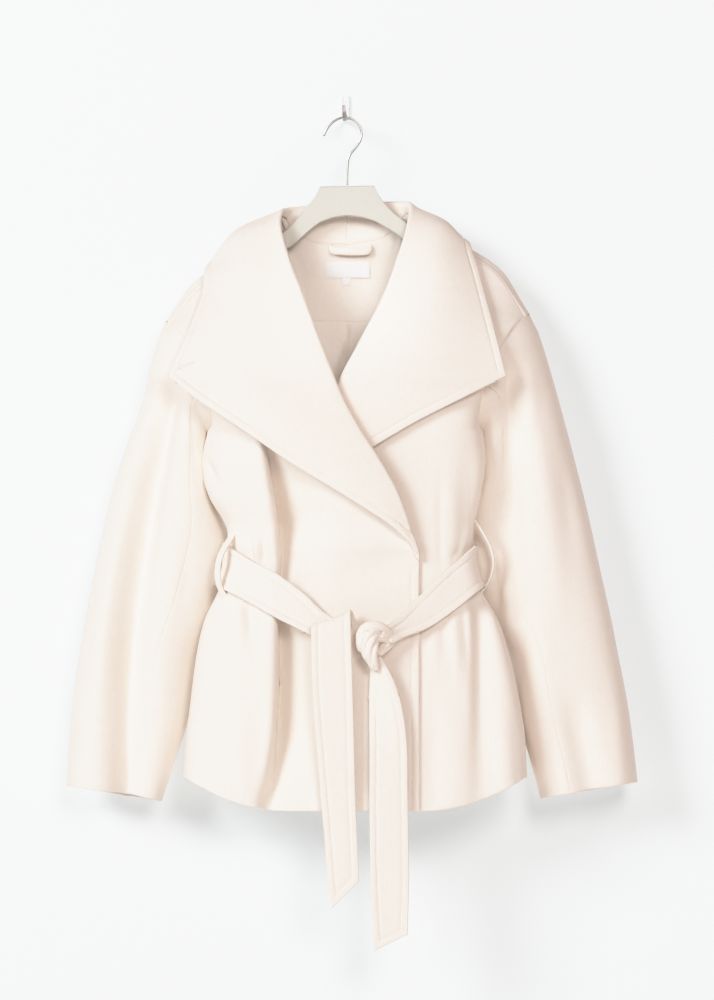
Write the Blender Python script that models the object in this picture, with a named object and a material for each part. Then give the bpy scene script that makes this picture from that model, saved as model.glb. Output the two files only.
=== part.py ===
"""Cropped wrap jacket in heavy brushed wool, with a wide grown-on collar and a tie belt, hung on a
flat hanger from a small wall hook.

Frame: metres, +Z up, the jacket's front to -Y, the wearer's left to +X. The origin is the middle of
the wall hook's back face, so the wall is the plane y = 0.

The cloth is drafted on a squared front view, as a pattern is drafted on squared paper: gx counts
squares to the right, gy counts squares down, and d is the depth in millimetres behind (+) or in
front of (-) the hanger's middle plane. One square is UNIT millimetres, and the draft is drawn as
an eye EYE millimetres away sees it.
"""

import math

import bpy
import numpy as np
from mathutils.bvhtree import BVHTree

for old in list(bpy.data.objects):
    bpy.data.objects.remove(old, do_unlink=True)

# ---------------------------------------------------------------- driving dimensions, millimetres
UNIT = 1.12            # one square of the draft
EYE = 4000.0           # the eye's distance from the hanger's middle plane
EYE_GX, EYE_GY = 357.0, 500.0    # the square the eye looks straight at
PLATE_GX, PLATE_GY = 346.0, 108.5  # the square of the wall hook's middle, the origin
WALL = 46.0            # the wall behind the hanger's middle plane

CLOTH = 2.4            # brushed wool, one layer
COLLAR = 3.6           # collar and lapels, two layers pressed together
BELT = 4.0             # the belt, two layers
BELT_WIDTH = 45.0
LOOP = 2.0             # belt loops and the neck loop
SEAM = 0.3             # clearance between pieces
ROLL = 4.2             # radius of the collar's roll
HANGER = 12.0          # thickness of the hanger's board
WIRE = 3.0             # diameter of the hanger's wire
TURN = 15              # degrees between the points around an armhole


def table(columns, *rows):
    """A table with named columns, one row for a section."""
    names = columns.split()
    for row in rows:
        assert len(row) == len(names), row
    return {name: np.array([row[i] for row in rows], float) for i, name in enumerate(names)}


def smooth(x, y, q):
    """A curve through the points (x, y) that doesn't overshoot, read at q. x may rise or fall."""
    x, y = np.asarray(x, float), np.asarray(y, float)
    if x[0] > x[-1]:
        x, y = x[::-1], y[::-1]
    q = np.clip(np.asarray(q, float), x[0], x[-1])
    h = np.diff(x)
    s = np.diff(y) / h
    m = np.zeros(len(x))
    m[0], m[-1] = s[0], s[-1]
    for i in range(1, len(x) - 1):
        if s[i - 1] * s[i] > 0:
            w1, w2 = 2 * h[i] + h[i - 1], h[i] + 2 * h[i - 1]
            m[i] = (w1 + w2) / (w1 / s[i - 1] + w2 / s[i])
    i = np.clip(np.searchsorted(x, q, side="right") - 1, 0, len(h) - 1)
    t = (q - x[i]) / h[i]
    return ((2 * t**3 - 3 * t**2 + 1) * y[i] + (t**3 - 2 * t**2 + t) * h[i] * m[i]
            + (-2 * t**3 + 3 * t**2) * y[i + 1] + (t**3 - t**2) * h[i] * m[i + 1])


def read(tab, key, columns, q):
    """Several columns of a table at q, as the last axis."""
    return np.stack([smooth(tab[key], tab[c], q) for c in columns.split()], -1)


def draft(p):
    """Squares and depth to millimetres in the frame."""
    p = np.asarray(p, float)
    k, k0 = 1 + p[..., 2] / EYE, 1 + WALL / EYE
    x = (p[..., 0] - EYE_GX) * UNIT * k + (EYE_GX - PLATE_GX) * UNIT * k0
    z = -(p[..., 1] - EYE_GY) * UNIT * k - (EYE_GY - PLATE_GY) * UNIT * k0
    return np.stack([x, p[..., 2] - WALL, z], -1)


def unit(v):
    v = np.asarray(v, float)
    return v / np.maximum(np.linalg.norm(v, axis=-1, keepdims=True), 1e-9)


def spread(points, n):
    """n points evenly along a polyline."""
    points = np.asarray(points, float)
    run = np.concatenate([[0], np.cumsum(np.linalg.norm(np.diff(points, axis=0), axis=1))])
    at = np.linspace(0, run[-1], n)
    return np.stack([np.interp(at, run, points[:, i]) for i in range(points.shape[1])], -1)


def bend(points, n):
    """n points evenly along a smooth curve through a few points."""
    points = np.asarray(points, float)
    run = np.concatenate([[0], np.cumsum(np.sqrt(np.linalg.norm(np.diff(points, axis=0), axis=1)) + 1e-6)])
    at = np.linspace(0, run[-1], 24 * len(points))
    tangents = np.gradient(points, run, axis=0)
    i = np.clip(np.searchsorted(run, at, side="right") - 1, 0, len(run) - 2)
    h = (run[i + 1] - run[i])[:, None]
    t = (at[:, None] - run[i][:, None]) / h
    curve = ((2 * t**3 - 3 * t**2 + 1) * points[i] + (t**3 - 2 * t**2 + t) * h * tangents[i]
             + (-2 * t**3 + 3 * t**2) * points[i + 1] + (t**3 - t**2) * h * tangents[i + 1])
    return spread(curve, n)


def swell(t, n):
    """How far a section has come out from its side, 0 to 1, as on a squared-off oval."""
    t = np.clip(t, 0, 1)
    return (1 - (1 - t) ** n) ** (1 / n)


# ---------------------------------------------------------------- materials
def material(name, colour, rough, metal=0.0):
    m = bpy.data.materials.new(name)
    m.use_nodes = True
    b = m.node_tree.nodes["Principled BSDF"]
    b.inputs["Base Color"].default_value = (*colour, 1)
    b.inputs["Roughness"].default_value = rough
    b.inputs["Metallic"].default_value = metal
    m.diffuse_color = (*colour, 1)
    return m


WOOL = (0.90, 0.82, 0.76)


def wool(name):
    return material(name + "_wool", WOOL, 0.95)


# ---------------------------------------------------------------- walls of cloth
class Cloth:
    """A wall of cloth about a grid of points, rows by columns, in millimetres.

    turned: whether the cloth's outer side is the grid's other side.
    """

    def __init__(self, name, grid, thick, turned=False):
        self.name, self.mid, self.thick, self.turned = name, np.array(grid, float), thick, turned
        across = np.gradient(self.mid, axis=1)
        along = np.gradient(self.mid, axis=0)
        self.normal = unit(np.cross(across, along)) * (-1 if turned else 1)

    def build(self):
        rows, cols = self.mid.shape[:2]
        half = self.normal * self.thick / 2
        points = np.concatenate([(self.mid + half).reshape(-1, 3), (self.mid - half).reshape(-1, 3)])
        back = rows * cols
        faces = []
        for r in range(rows - 1):
            for c in range(cols - 1):
                a, b, e, f = r * cols + c, r * cols + c + 1, (r + 1) * cols + c + 1, (r + 1) * cols + c
                faces += [(a, b, e), (a, e, f), (back + a, back + e, back + b), (back + a, back + f, back + e)]
        rim = ([(0, c) for c in range(cols)] + [(r, cols - 1) for r in range(1, rows)]
               + [(rows - 1, c) for c in range(cols - 2, -1, -1)] + [(r, 0) for r in range(rows - 2, 0, -1)])
        rim = [r * cols + c for r, c in rim]
        for a, b in zip(rim, rim[1:] + rim[:1]):
            faces += [(a, back + a, back + b), (a, back + b, b)]
        if self.turned:
            faces = [f[::-1] for f in faces]
        solid(self.name, points, faces, wool(self.name))


def solid(name, points, faces, mat, flat=False):
    mesh = bpy.data.meshes.new(name)
    mesh.from_pydata((np.asarray(points) / 1000).tolist(), [], faces)
    mesh.validate()
    mesh.materials.append(mat)
    if not flat:
        mesh.shade_smooth()
        mesh.set_sharp_from_angle(angle=math.radians(40))
    ob = bpy.data.objects.new(name, mesh)
    bpy.context.scene.collection.objects.link(ob)
    return ob


def sew(a, edge_a, b, edge_b):
    """Sets two pieces edge to edge along a seam: one common normal, then half the clearance each."""
    b.mid[edge_b] = a.mid[edge_a]
    both = unit(a.normal[edge_a] + b.normal[edge_b])
    a.normal[edge_a] = both
    b.normal[edge_b] = both


def meet(pieces):
    """Where three or more pieces meet in a point, gives them one common normal there."""
    rims = []
    for piece in pieces:
        rows, cols = piece.mid.shape[:2]
        rims += [(piece, r, c) for r in range(rows) for c in range(cols) if r in (0, rows - 1) or c in (0, cols - 1)]
    points = np.array([piece.mid[r, c] for piece, r, c in rims])
    normals = np.array([piece.normal[r, c] for piece, r, c in rims])
    for k, (piece, r, c) in enumerate(rims):
        same = np.linalg.norm(points - points[k], axis=1) < 0.02
        if same.sum() > 2:
            piece.normal[r, c] = unit(normals[same].sum(0))


def ease(a, edge, inner, gap=SEAM / 2):
    """Draws an edge back from its seam line, towards the line of points inside it."""
    a.mid[edge] = a.mid[edge] + unit(a.mid[inner] - a.mid[edge]) * gap


TOP, BOTTOM, FIRST, LAST = (0,), (-1,), (slice(None), 0), (slice(None), -1)

# ---------------------------------------------------------------- armholes and sleeves
# o: the outer side of a ring, i: its inner side, each with its depth mid; front, back: its depths;
# bow_f, bow_b: how far those halves lean towards the body; round: 2 is an oval, more is squarer
SLEEVE_COLUMNS = "v ogx ogy igx igy mid_o mid_i front back bow_f bow_b round"
SLEEVE = {
    "left": table(SLEEVE_COLUMNS,   # the wearer's left, at the draft's right
                  (0.00, 529.0, 316.0, 482.0, 431.0, -4, -14, -43, 26, 16, 8, 2.0),
                  (0.03, 533.0, 324.5, 490.0, 438.0, -4, -5, -41, 27, 5, 6, 2.0),
                  (0.06, 537.0, 334.0, 490.5, 447.0, -4, 1, -41, 29, 3, 5, 2.0),
                  (0.15, 547.5, 366.0, 487.5, 473.0, -3, 10, -42, 34, 2, 2, 2.1),
                  (0.28, 563.5, 423.0, 480.5, 506.0, 0, 14, -42, 38, 0, 0, 2.2),
                  (0.42, 581.5, 490.0, 477.0, 552.0, 2, 15, -42, 40, 0, 0, 2.2),
                  (0.56, 600.0, 572.0, 485.0, 612.0, 0, 15, -42, 40, 0, 0, 2.2),
                  (0.70, 614.5, 640.0, 508.0, 660.0, -3, 10, -43, 37, 0, 0, 2.2),
                  (0.84, 627.0, 708.0, 518.5, 717.0, -5, 2, -44, 33, 0, 0, 2.2),
                  (0.94, 633.5, 755.0, 532.0, 764.0, -8, -6, -45, 28, 0, 0, 2.2),
                  (1.00, 636.4, 782.0, 541.0, 798.0, -10, -10, -45, 25, 0, 0, 2.2)),
    "right": table(SLEEVE_COLUMNS,
                   (0.00, 166.0, 323.0, 208.5, 431.0, -4, -14, -43, 26, 16, 8, 2.0),
                   (0.03, 162.7, 331.0, 199.5, 438.0, -4, -5, -41, 27, 5, 6, 2.0),
                   (0.06, 159.5, 340.0, 198.5, 447.0, -4, 1, -41, 29, 3, 5, 2.0),
                   (0.15, 151.5, 368.0, 201.5, 473.0, -3, 10, -42, 34, 2, 2, 2.1),
                   (0.28, 137.5, 414.0, 210.5, 506.0, 0, 14, -42, 38, 0, 0, 2.2),
                   (0.42, 113.5, 490.0, 224.0, 552.0, 2, 15, -42, 40, 0, 0, 2.2),
                   (0.56, 94.5, 575.0, 214.0, 608.0, 0, 15, -42, 40, 0, 0, 2.2),
                   (0.70, 83.0, 642.0, 197.0, 660.0, -3, 10, -43, 37, 0, 0, 2.2),
                   (0.84, 73.0, 710.0, 187.0, 718.0, -5, 2, -44, 33, 0, 0, 2.2),
                   (0.94, 69.3, 757.0, 171.0, 770.0, -8, -6, -45, 28, 0, 0, 2.2),
                   (1.00, 68.0, 785.5, 161.4, 801.0, -10, -10, -45, 25, 0, 0, 2.2)),
}
BODY_SIDE = {"left": -1.0, "right": 1.0}    # which way along gx the body lies
FRONT_SEAM, BACK_SEAM = 105, -105           # degrees round a sleeve, from its outer side to the front


def sleeve_ring(side, v, phi):
    """Points of a sleeve's ring: phi in degrees, 0 at the outer side, 90 at the front, 180 inside."""
    ogx, ogy, igx, igy, mid_o, mid_i, front, back, bow_f, bow_b, n = read(
        SLEEVE[side], "v", SLEEVE_COLUMNS[2:], v).T
    phi = np.radians(phi)
    c, s = np.cos(phi), np.sin(phi)
    mid = (mid_o + mid_i) / 2 + (mid_o - mid_i) / 2 * c
    cc = np.sign(c) * np.abs(c) ** (2 / n)
    ss = np.sign(s) * np.abs(s) ** (2 / n)
    hx, hy = (ogx - igx) / 2, (ogy - igy) / 2
    px, py = unit(np.stack([-hy, hx], -1)).T
    flip = np.sign(px * BODY_SIDE[side])
    bow = np.where(s > 0, bow_f, bow_b) * np.abs(s) * flip
    gx = (ogx + igx) / 2 + hx * cc + px * bow
    gy = (ogy + igy) / 2 + hy * cc + py * bow
    d = mid + np.where(ss > 0, (front - mid) * ss, (mid - back) * ss)
    return np.stack([gx, gy, d], -1)


def armhole(side, phi):
    return sleeve_ring(side, 0.0, phi)


SLEEVE_ROWS = np.array([0, 0.03, 0.07, 0.15, 0.27, 0.42, 0.57, 0.72, 0.87, 1.0])


def sleeve(side):
    top_phi = np.arange(BACK_SEAM, FRONT_SEAM + 1, TURN, dtype=float)
    low_phi = np.arange(FRONT_SEAM, 360 + BACK_SEAM + 1, TURN, dtype=float)
    top = draft([sleeve_ring(side, v, top_phi) for v in SLEEVE_ROWS])
    low = draft([sleeve_ring(side, v, low_phi) for v in SLEEVE_ROWS])
    turned = side == "right"
    return Cloth("sleeve_top_" + side, top, CLOTH, turned), Cloth("sleeve_under_" + side, low, CLOTH, turned)


# ---------------------------------------------------------------- body sections, hem to underarm
# level: the side seam's gy; right, left: the side seams' gx; drop: how much lower the section runs
# at its front edge and its back; side, over, under, back: depths of the sides, fronts and back
BODY = table("level right left drop drop_b side over under back round",
             (777, 184.4, 526.0, 34, 14, -38, -91, -86, 31, 2.3),
             (742, 187.0, 524.5, 24, 9, -38, -89, -84, 30, 2.2),
             (704, 191.5, 519.0, 12, 4, -37, -86, -81, 29, 2.1),
             (662, 196.5, 510.5, 4, 1, -36, -82, -77, 28, 1.8),
             (622, 205.0, 498.0, 0, 0, -35, -77, -71, 26, 1.7),
             (590, 220.0, 480.0, 0, 0, -34, -72, -66, 24, 1.65),
             (562, 229.0, 471.0, 0, 0, -33, -70, -63, 23, 1.7),
             (532, 228.5, 472.0, 0, 0, -33, -73, -65, 23, 1.65),
             (496, 210.0, 479.0, 0, 0, -31, -79, -69, 24, 1.65),
             (462, 202.5, 484.5, 0, 0, -25, -83, -73, 25, 1.7),
             (431, 208.5, 482.0, 0, 0, -14, -84, -74, 25, 1.9))
LEVELS = BODY["level"]
CORNER = 118.0         # squares from a side seam to where the front lies flat
CORNER_B = 95.0        # the same on the back
WRAP_GX = 419.0        # the wrap edge of the right front
WRAP_UNDER_GX = 345.0  # that of the left front, hidden
FOOT = {"right": 545.0, "left": 500.0}   # where each lapel starts, going up

# The large folds of the fronts: gx of the valley, its depth, and its reach to either side
FOLD_RIGHT = table("gy gx deep near far",
                   (431, 274, 0, 14, 26), (470, 278, 9, 13, 28), (520, 287, 17, 12, 30), (560, 291, 12, 12, 30),
                   (600, 292, 9, 13, 30), (650, 291, 14, 14, 32), (720, 291, 12, 16, 34), (812, 291, 7, 18, 34))
FOLD_LEFT = table("gy gx deep near far",
                  (431, 470, 0, 12, 20), (500, 468, 4, 12, 20), (560, 468, 5, 12, 20),
                  (620, 478, 8, 12, 16), (700, 482, 7, 13, 18), (800, 484, 3, 14, 20))


def fold(tab, gx, gy):
    """How far a fold's valley goes in at a place."""
    centre, deep, near, far = read(tab, "gy", "gx deep near far", gy).T
    off = gx - centre
    reach = np.where(off < 0, near, far)
    return deep * np.exp(-(off / reach) ** 2)


FRONT_COLUMNS = 13
# The collar is cut in one with the fronts' facings. g: the station, by the gy at which a front's
# section meets the roll, then on round the neck to the centre back; i: its inner edge, where it
# meets the front or the neck seam; r: the roll; e: its outer edge; bulge: how full it stands
COLLAR_COLUMNS = "g igx igy id rgx rgy rd egx egy ed bulge"
COLLAR_OVER = table(COLLAR_COLUMNS,
                    (560, 414.5, 558, -75.5, 419.3, 556, -78.5, 416.0, 551, -82, 0.5),
                    (532, 406.0, 532, -73, 411.0, 532, -79, 394.0, 528, -84, 1.0),
                    (496, 393.0, 496, -79, 398.5, 496, -86, 346.0, 496, -90, 2.0),
                    (462, 374.5, 462, -83, 380.0, 462, -90, 290.0, 462, -92, 3.0),
                    (431, 355.0, 431, -84, 360.0, 431, -91, 245.0, 431, -91, 4.0),
                    (396, 336.0, 396, -81, 341.0, 396, -88, 193.0, 396, -77, 5.0),
                    (378, 328.5, 378, -78, 333.5, 378, -85, 167.5, 376.5, -64, 5.0),
                    (345, 315.5, 345, -70, 320.5, 345, -77, 181.7, 345, -57, 6.0),
                    (321, 306.5, 321, -63, 311.5, 321, -70, 191.7, 322, -47, 7.0),
                    (290, 295.0, 290, -50, 300.0, 290, -57, 202.0, 291, -28, 9.0),
                    (262, 284.0, 263, -33, 289.0, 261, -42, 205.0, 271, -12, 11.0),
                    (238, 277.5, 226, -13, 279.5, 223, -22, 209.0, 266, 3, 15.0),
                    (228, 281.0, 216, 0, 283.5, 210.0, -5, 217.0, 274, 22, 16.0),
                    (223, 285.5, 219.5, 9, 289.5, 209, 4, 234.0, 289, 30, 13.0),
                    (218, 296.0, 233, 13, 299.0, 208, 12, 257.0, 302, 34, 9.0),
                    (208, 320.0, 243.5, 15.5, 321.0, 206.5, 18, 300.0, 316, 36, 5.0),
                    (198, 347.0, 244, 17, 347.0, 205, 20, 347.0, 322, 37, 3.0))
COLLAR_UNDER = table(COLLAR_COLUMNS,
                     (496, 344.0, 498, -66, 339.5, 494, -70, 343.5, 486, -72, 0.5),
                     (462, 341.0, 462, -68, 336.0, 462, -73, 358.0, 459, -75, 0.5),
                     (431, 338.5, 431, -70, 333.5, 431, -76, 399.0, 431, -79, 1.0),
                     (396, 340.0, 396, -70, 335.0, 396, -76, 466.0, 396, -75, 4.0),
                     (378, 346.5, 378, -68, 341.5, 378, -74, 506.7, 376, -62, 5.0),
                     (345, 363.5, 345, -61, 359.0, 345, -67, 499.0, 345, -56, 6.0),
                     (321, 376.5, 321, -54, 371.5, 321, -60, 492.5, 321, -46, 7.0),
                     (290, 392.0, 290, -44, 387.0, 290, -51, 484.0, 290, -30, 8.0),
                     (262, 403.0, 262, -30, 398.0, 259, -38, 474.5, 259, -19, 10.0),
                     (238, 412.0, 226, -13, 408.5, 223, -21, 467.0, 243, 0, 10.0),
                     (228, 409.0, 214, 0, 411.0, 206, -6, 461.0, 253, 21, 11.0),
                     (223, 404.5, 216, 9, 406.5, 203, 4, 449.0, 270, 28, 10.0),
                     (218, 394.0, 230, 13, 397.0, 203, 12, 432.0, 285, 32, 8.0),
                     (208, 373.0, 241, 15.5, 374.0, 203.5, 17.5, 395.0, 304, 36, 5.0),
                     (198, 347.0, 244, 17, 347.0, 205, 20, 347.0, 322, 37, 3.0))
NECK_G, BACK_G = 238.0, 198.0   # stations of the neck point and of the centre back
UPPER_PHI = np.arange(180 - TURN, TURN - 1, -TURN, dtype=float)    # the front's armhole points, upwards
UPPER_G = 431 - (431 - NECK_G) * (180 - UPPER_PHI) / (180 - TURN)
NECK_STATIONS = np.linspace(NECK_G, BACK_G, 6)[1:]

# Shoulders: seam: the forward shoulder seam; ridge: the highest line; low: the yoke seam
SHOULDER_COLUMNS = "s sgx sgy rgx rgy lgx lgy"
SHOULDER = {
    "left": table(SHOULDER_COLUMNS,
                  (0.00, 412, 226, 409, 214.5, 396, 322), (0.30, 440, 243, 442, 234, 424, 325),
                  (0.55, 466, 256, 469, 249, 452, 331), (0.80, 495, 274, 500, 270, 482, 342),
                  (1.00, 524, 316, 529, 316, 507, 356)),
    "right": table(SHOULDER_COLUMNS,
                   (0.00, 277.5, 226, 281, 216.5, 298, 322), (0.30, 250, 247, 248, 238.5, 270, 326),
                   (0.55, 223, 272, 220, 264.5, 246, 333), (0.80, 196, 293, 191.5, 285.5, 216, 346),
                   (1.00, 170.5, 323, 166, 323, 186, 360)),
}
SEAM_D, RIDGE_D = -13.0, 0.0
YOKE_D = 25.0          # depth of the yoke seam
YOKE_PHI = np.arange(TURN, -76, -TURN, dtype=float)


def shoulder_seam(side, s):
    """The forward shoulder seam, from the neck point (0) to the armhole (1)."""
    out = read(SHOULDER[side], "s", "sgx sgy", s)
    d = np.full(np.shape(s), SEAM_D)
    p = np.concatenate([out, d[..., None]], -1)
    neck = read(COLLARS[side], "g", "igx igy id", NECK_G)
    arm = armhole(side, float(TURN))
    lead = smooth([0, 0.15], [1, 0], s)[..., None]
    tail = smooth([0.8, 1], [0, 1], s)[..., None]
    p = p + (neck - np.array([*read(SHOULDER[side], "s", "sgx sgy", 0.0), SEAM_D])) * lead
    return p + (arm - np.array([*read(SHOULDER[side], "s", "sgx sgy", 1.0), SEAM_D])) * tail


COLLARS = {"right": COLLAR_OVER, "left": COLLAR_UNDER}
FOLDS = {"right": FOLD_RIGHT, "left": FOLD_LEFT}
FRONT_D = {"right": "over", "left": "under"}


def front_row(side, start, end, drop, count, level):
    """A section of a front from its side or armhole to its edge."""
    sign = 1.0 if side == "right" else -1.0
    width = (end[0] - start[0]) * sign
    corner = min(CORNER, width)
    off = np.linspace(0, 1, 160) ** 2.2 * width
    q = swell(off / corner, 2.5)
    gx = start[0] + sign * off
    d = start[2] + (end[2] - start[2]) * q
    if drop is None:
        gy = start[1] + (end[1] - start[1]) * off / width
    else:
        gy = start[1] + drop * (1 - (1 - np.clip(off / 105, 0, 1)) ** 2)
    d = d + fold(FOLDS[side], gx, gy)
    return spread(draft(np.stack([gx, gy, d], -1)), count)


def front(side):
    collar = COLLARS[side]
    rows = []
    for k, level in enumerate(LEVELS):
        start = [BODY[side][k], level, BODY["side"][k]]
        depth = BODY[FRONT_D[side]][k]
        if level > FOOT[side]:
            end = [WRAP_GX if side == "right" else WRAP_UNDER_GX, level + BODY["drop"][k], depth]
            rows.append(front_row(side, start, end, BODY["drop"][k], FRONT_COLUMNS, level))
        else:
            end = read(collar, "g", "igx igy id", level)
            rows.append(front_row(side, start, end, None, FRONT_COLUMNS, level))
    for phi, g in zip(UPPER_PHI[:-1], UPPER_G[:-1]):
        rows.append(front_row(side, armhole(side, phi), read(collar, "g", "igx igy id", g), None, FRONT_COLUMNS, g))
    rows.append(draft(shoulder_seam(side, np.linspace(1, 0, FRONT_COLUMNS))))
    return Cloth("front_over" if side == "right" else "front_under", rows, CLOTH, side == "left")


# ---------------------------------------------------------------- yoke and back
def yoke_column(side, s):
    """One line of the yoke from the forward shoulder seam, over the shoulder, down to the yoke seam."""
    rgx, rgy, lgx, lgy = read(SHOULDER[side], "s", "rgx rgy lgx lgy", s)
    start = shoulder_seam(side, np.array(s, float))
    ridge, low = np.array([rgx, rgy, RIDGE_D]), np.array([lgx, lgy, YOKE_D])
    return over_shoulder(start, ridge, low)


def over_shoulder(start, ridge, low):
    points = [start]
    if start[2] < RIDGE_D - 4:
        points.append(ridge)
    behind = ridge + (low - ridge) * 0.12
    behind[2] = 14.0
    points.append(behind)
    half = ridge + (low - ridge) * 0.45
    half[2] = 21.0
    points += [half, low]
    return bend(draft(points), len(YOKE_PHI))


def neck_column(side, g):
    start = read(COLLARS[side], "g", "igx igy id", g)
    run = (NECK_G - g) / (NECK_G - BACK_G)
    neck = read(SHOULDER[side], "s", "lgx lgy", 0.0)
    low = np.array([neck[0] + (347 - neck[0]) * run, 322.0, YOKE_D])
    ridge = np.array([*read(SHOULDER[side], "s", "rgx rgy", 0.0), RIDGE_D])
    if start[2] > 5:
        half = start * 0.6 + low * 0.4
        half[2] = 21.0
        return bend(draft([start, half, low]), len(YOKE_PHI))
    return over_shoulder(start, ridge, low)


def yoke():
    s = np.linspace(1, 0, (FRONT_COLUMNS + 1) // 2)
    columns = [draft(armhole("right", YOKE_PHI))]
    columns += [yoke_column("right", v) for v in s[1:]]
    columns += [neck_column("right", g) for g in NECK_STATIONS]
    columns += [neck_column("left", g) for g in NECK_STATIONS[-2::-1]]
    columns += [yoke_column("left", v) for v in s[::-1][:-1]]
    columns += [draft(armhole("left", YOKE_PHI))]
    return Cloth("back_yoke", np.swapaxes(np.array(columns), 0, 1), CLOTH)


PLEAT = table("gy deep wide", (322, 3, 5), (345, 7, 8), (400, 8, 10), (480, 5, 12), (560, 1, 14), (800, 0, 14))
BACK_PHI = np.arange(-90, -180, -TURN, dtype=float)


def back_row(a, b, back_d, drop, count, square):
    """A section of the back from the right side (a) to the left side (b)."""
    width = b[0] - a[0]
    mid = 0.5 - 0.5 * np.cos(np.linspace(0, math.pi, 241))
    off = mid * width
    near = np.minimum(off, width - off)
    q = swell(near / CORNER_B, square)
    side = a[2] + (b[2] - a[2]) * mid
    gy = a[1] + (b[1] - a[1]) * mid + drop * (1 - (1 - np.clip(near / 95, 0, 1)) ** 2)
    gx = a[0] + off
    deep, wide = read(PLEAT, "gy", "deep wide", gy).T
    d = side + (back_d - side) * q - deep * np.exp(-((gx - 348) / wide) ** 2)
    return spread(draft(np.stack([gx, gy, d], -1)), count)


def back(yoke_piece):
    count = yoke_piece.mid.shape[1]
    rows = [yoke_piece.mid[-1].copy()]
    for phi in BACK_PHI:
        f = (-90 - phi) / 90
        rows.append(back_row(armhole("right", phi), armhole("left", phi), YOKE_D, -26 * (1 - f), count, 2.2))
    for k in range(len(LEVELS) - 1, -1, -1):
        a = [BODY["right"][k], LEVELS[k], BODY["side"][k]]
        b = [BODY["left"][k], LEVELS[k], BODY["side"][k]]
        rows.append(back_row(a, b, BODY["back"][k], BODY["drop_b"][k], count, BODY["round"][k]))
    return Cloth("back_panel", rows, CLOTH)


# ---------------------------------------------------------------- collar and lapels
COLLAR_IN = np.array([0, 0.5])    # places across the collar, as shares of the way to the roll
COLLAR_OUT = np.array([0, 0.028, 0.075, 0.18, 0.34, 0.52, 0.70, 0.86, 1.0])    # and from it to the outer edge


def collar_station(row):
    """One section across the collar, from its inner edge round the roll to its outer edge."""
    i, r, e = draft([row[0:3], row[3:6], row[6:9]])
    bulge = row[9]
    a, b = unit(i - r), unit((r * 0.4 + e * 0.6) - r)
    out, side = -unit(a + b), unit(b - a)
    radius = min(ROLL, 0.35 * np.linalg.norm(e - r) + 0.4)
    r_in = r - out * radius - side * radius * 0.9
    r_out = r - out * radius + side * radius * 0.9
    middle = r_out * 0.5 + e * 0.5
    chest = draft([347.0, max(300.0, (row[4] + row[7]) / 2), -20.0])
    away, run = middle - chest, unit(e - r_out)
    middle = middle + unit(away - run * (away * run).sum()) * bulge
    points = [i]
    if np.linalg.norm(i - r_in) > 6:
        points.append(r_in)
    fine = bend([*points, r, r_out, middle, e], 200)
    run = np.concatenate([[0], np.cumsum(np.linalg.norm(np.diff(fine, axis=0), axis=1))])
    roll = run[np.linalg.norm(fine - r, axis=1).argmin()]
    rest = run[-1] - roll
    at = np.concatenate([roll * COLLAR_IN, roll + rest * smooth([0, 1], [0, 1], COLLAR_OUT)])
    return np.stack([np.interp(at, run, fine[:, k]) for k in range(3)], -1)


def collar(side, name):
    stations = np.concatenate([LEVELS[LEVELS < FOOT[side]], UPPER_G, NECK_STATIONS])
    if side == "right":
        stations = np.concatenate([[560.0], stations])
    rows = [collar_station(read(COLLARS[side], "g", COLLAR_COLUMNS[2:], g)) for g in stations]
    return Cloth(name, rows, COLLAR, side == "left")


# ---------------------------------------------------------------- belt, on the body's own points
def side_gx(side, gy):
    return smooth(LEVELS, BODY[side], gy)


def front_place(side, gx, gy, folds=False):
    """A place on the middle of a front's wall below the underarm, with its depth."""
    sign = 1.0 if side == "right" else -1.0
    start, depth = smooth(LEVELS, BODY["side"], gy), smooth(LEVELS, BODY[FRONT_D[side]], gy)
    if side == "left":    # the belt rises onto the right front where that one wraps over
        depth = depth + (smooth(LEVELS, BODY["over"], gy) - depth) * smooth([418, 462], [1, 0], gx)
    d = start + (depth - start) * swell((gx - side_gx(side, gy)) * sign / CORNER, 2.5)
    if folds:
        d = d + fold(FOLDS[side], gx, gy)
    return np.stack([gx, gy, d], -1)


def back_place(off, gy):
    """A place on the middle of the back's wall; off: 0 at the right side, 1 at the left."""
    right, left = side_gx("right", gy), side_gx("left", gy)
    gx = right + (left - right) * off
    near = np.minimum(gx - right, left - gx)
    side, back_d, square = (smooth(LEVELS, BODY[c], gy) for c in ("side", "back", "round"))
    return np.stack([gx, gy, side + (back_d - side) * swell(near / CORNER_B, square)], -1)


def strap(name, grid, thick):
    """A strap on a grid of places, still in the body's own wall."""
    flat = Cloth(name, draft(grid), thick)
    away = flat.mid - np.array([(350 - PLATE_GX) * UNIT, -WALL - 25.0, 0.0])
    away[..., 2] = 0
    return Cloth(name, draft(grid), thick, (flat.normal * away).sum() < 0)


def stand_off(piece, lift):
    """Moves a strap out from the body by its own thickness, a clearance and a lift."""
    piece.mid = piece.mid + piece.normal * (CLOTH / 2 + 0.5 + piece.thick / 2 + np.asarray(lift))


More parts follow.
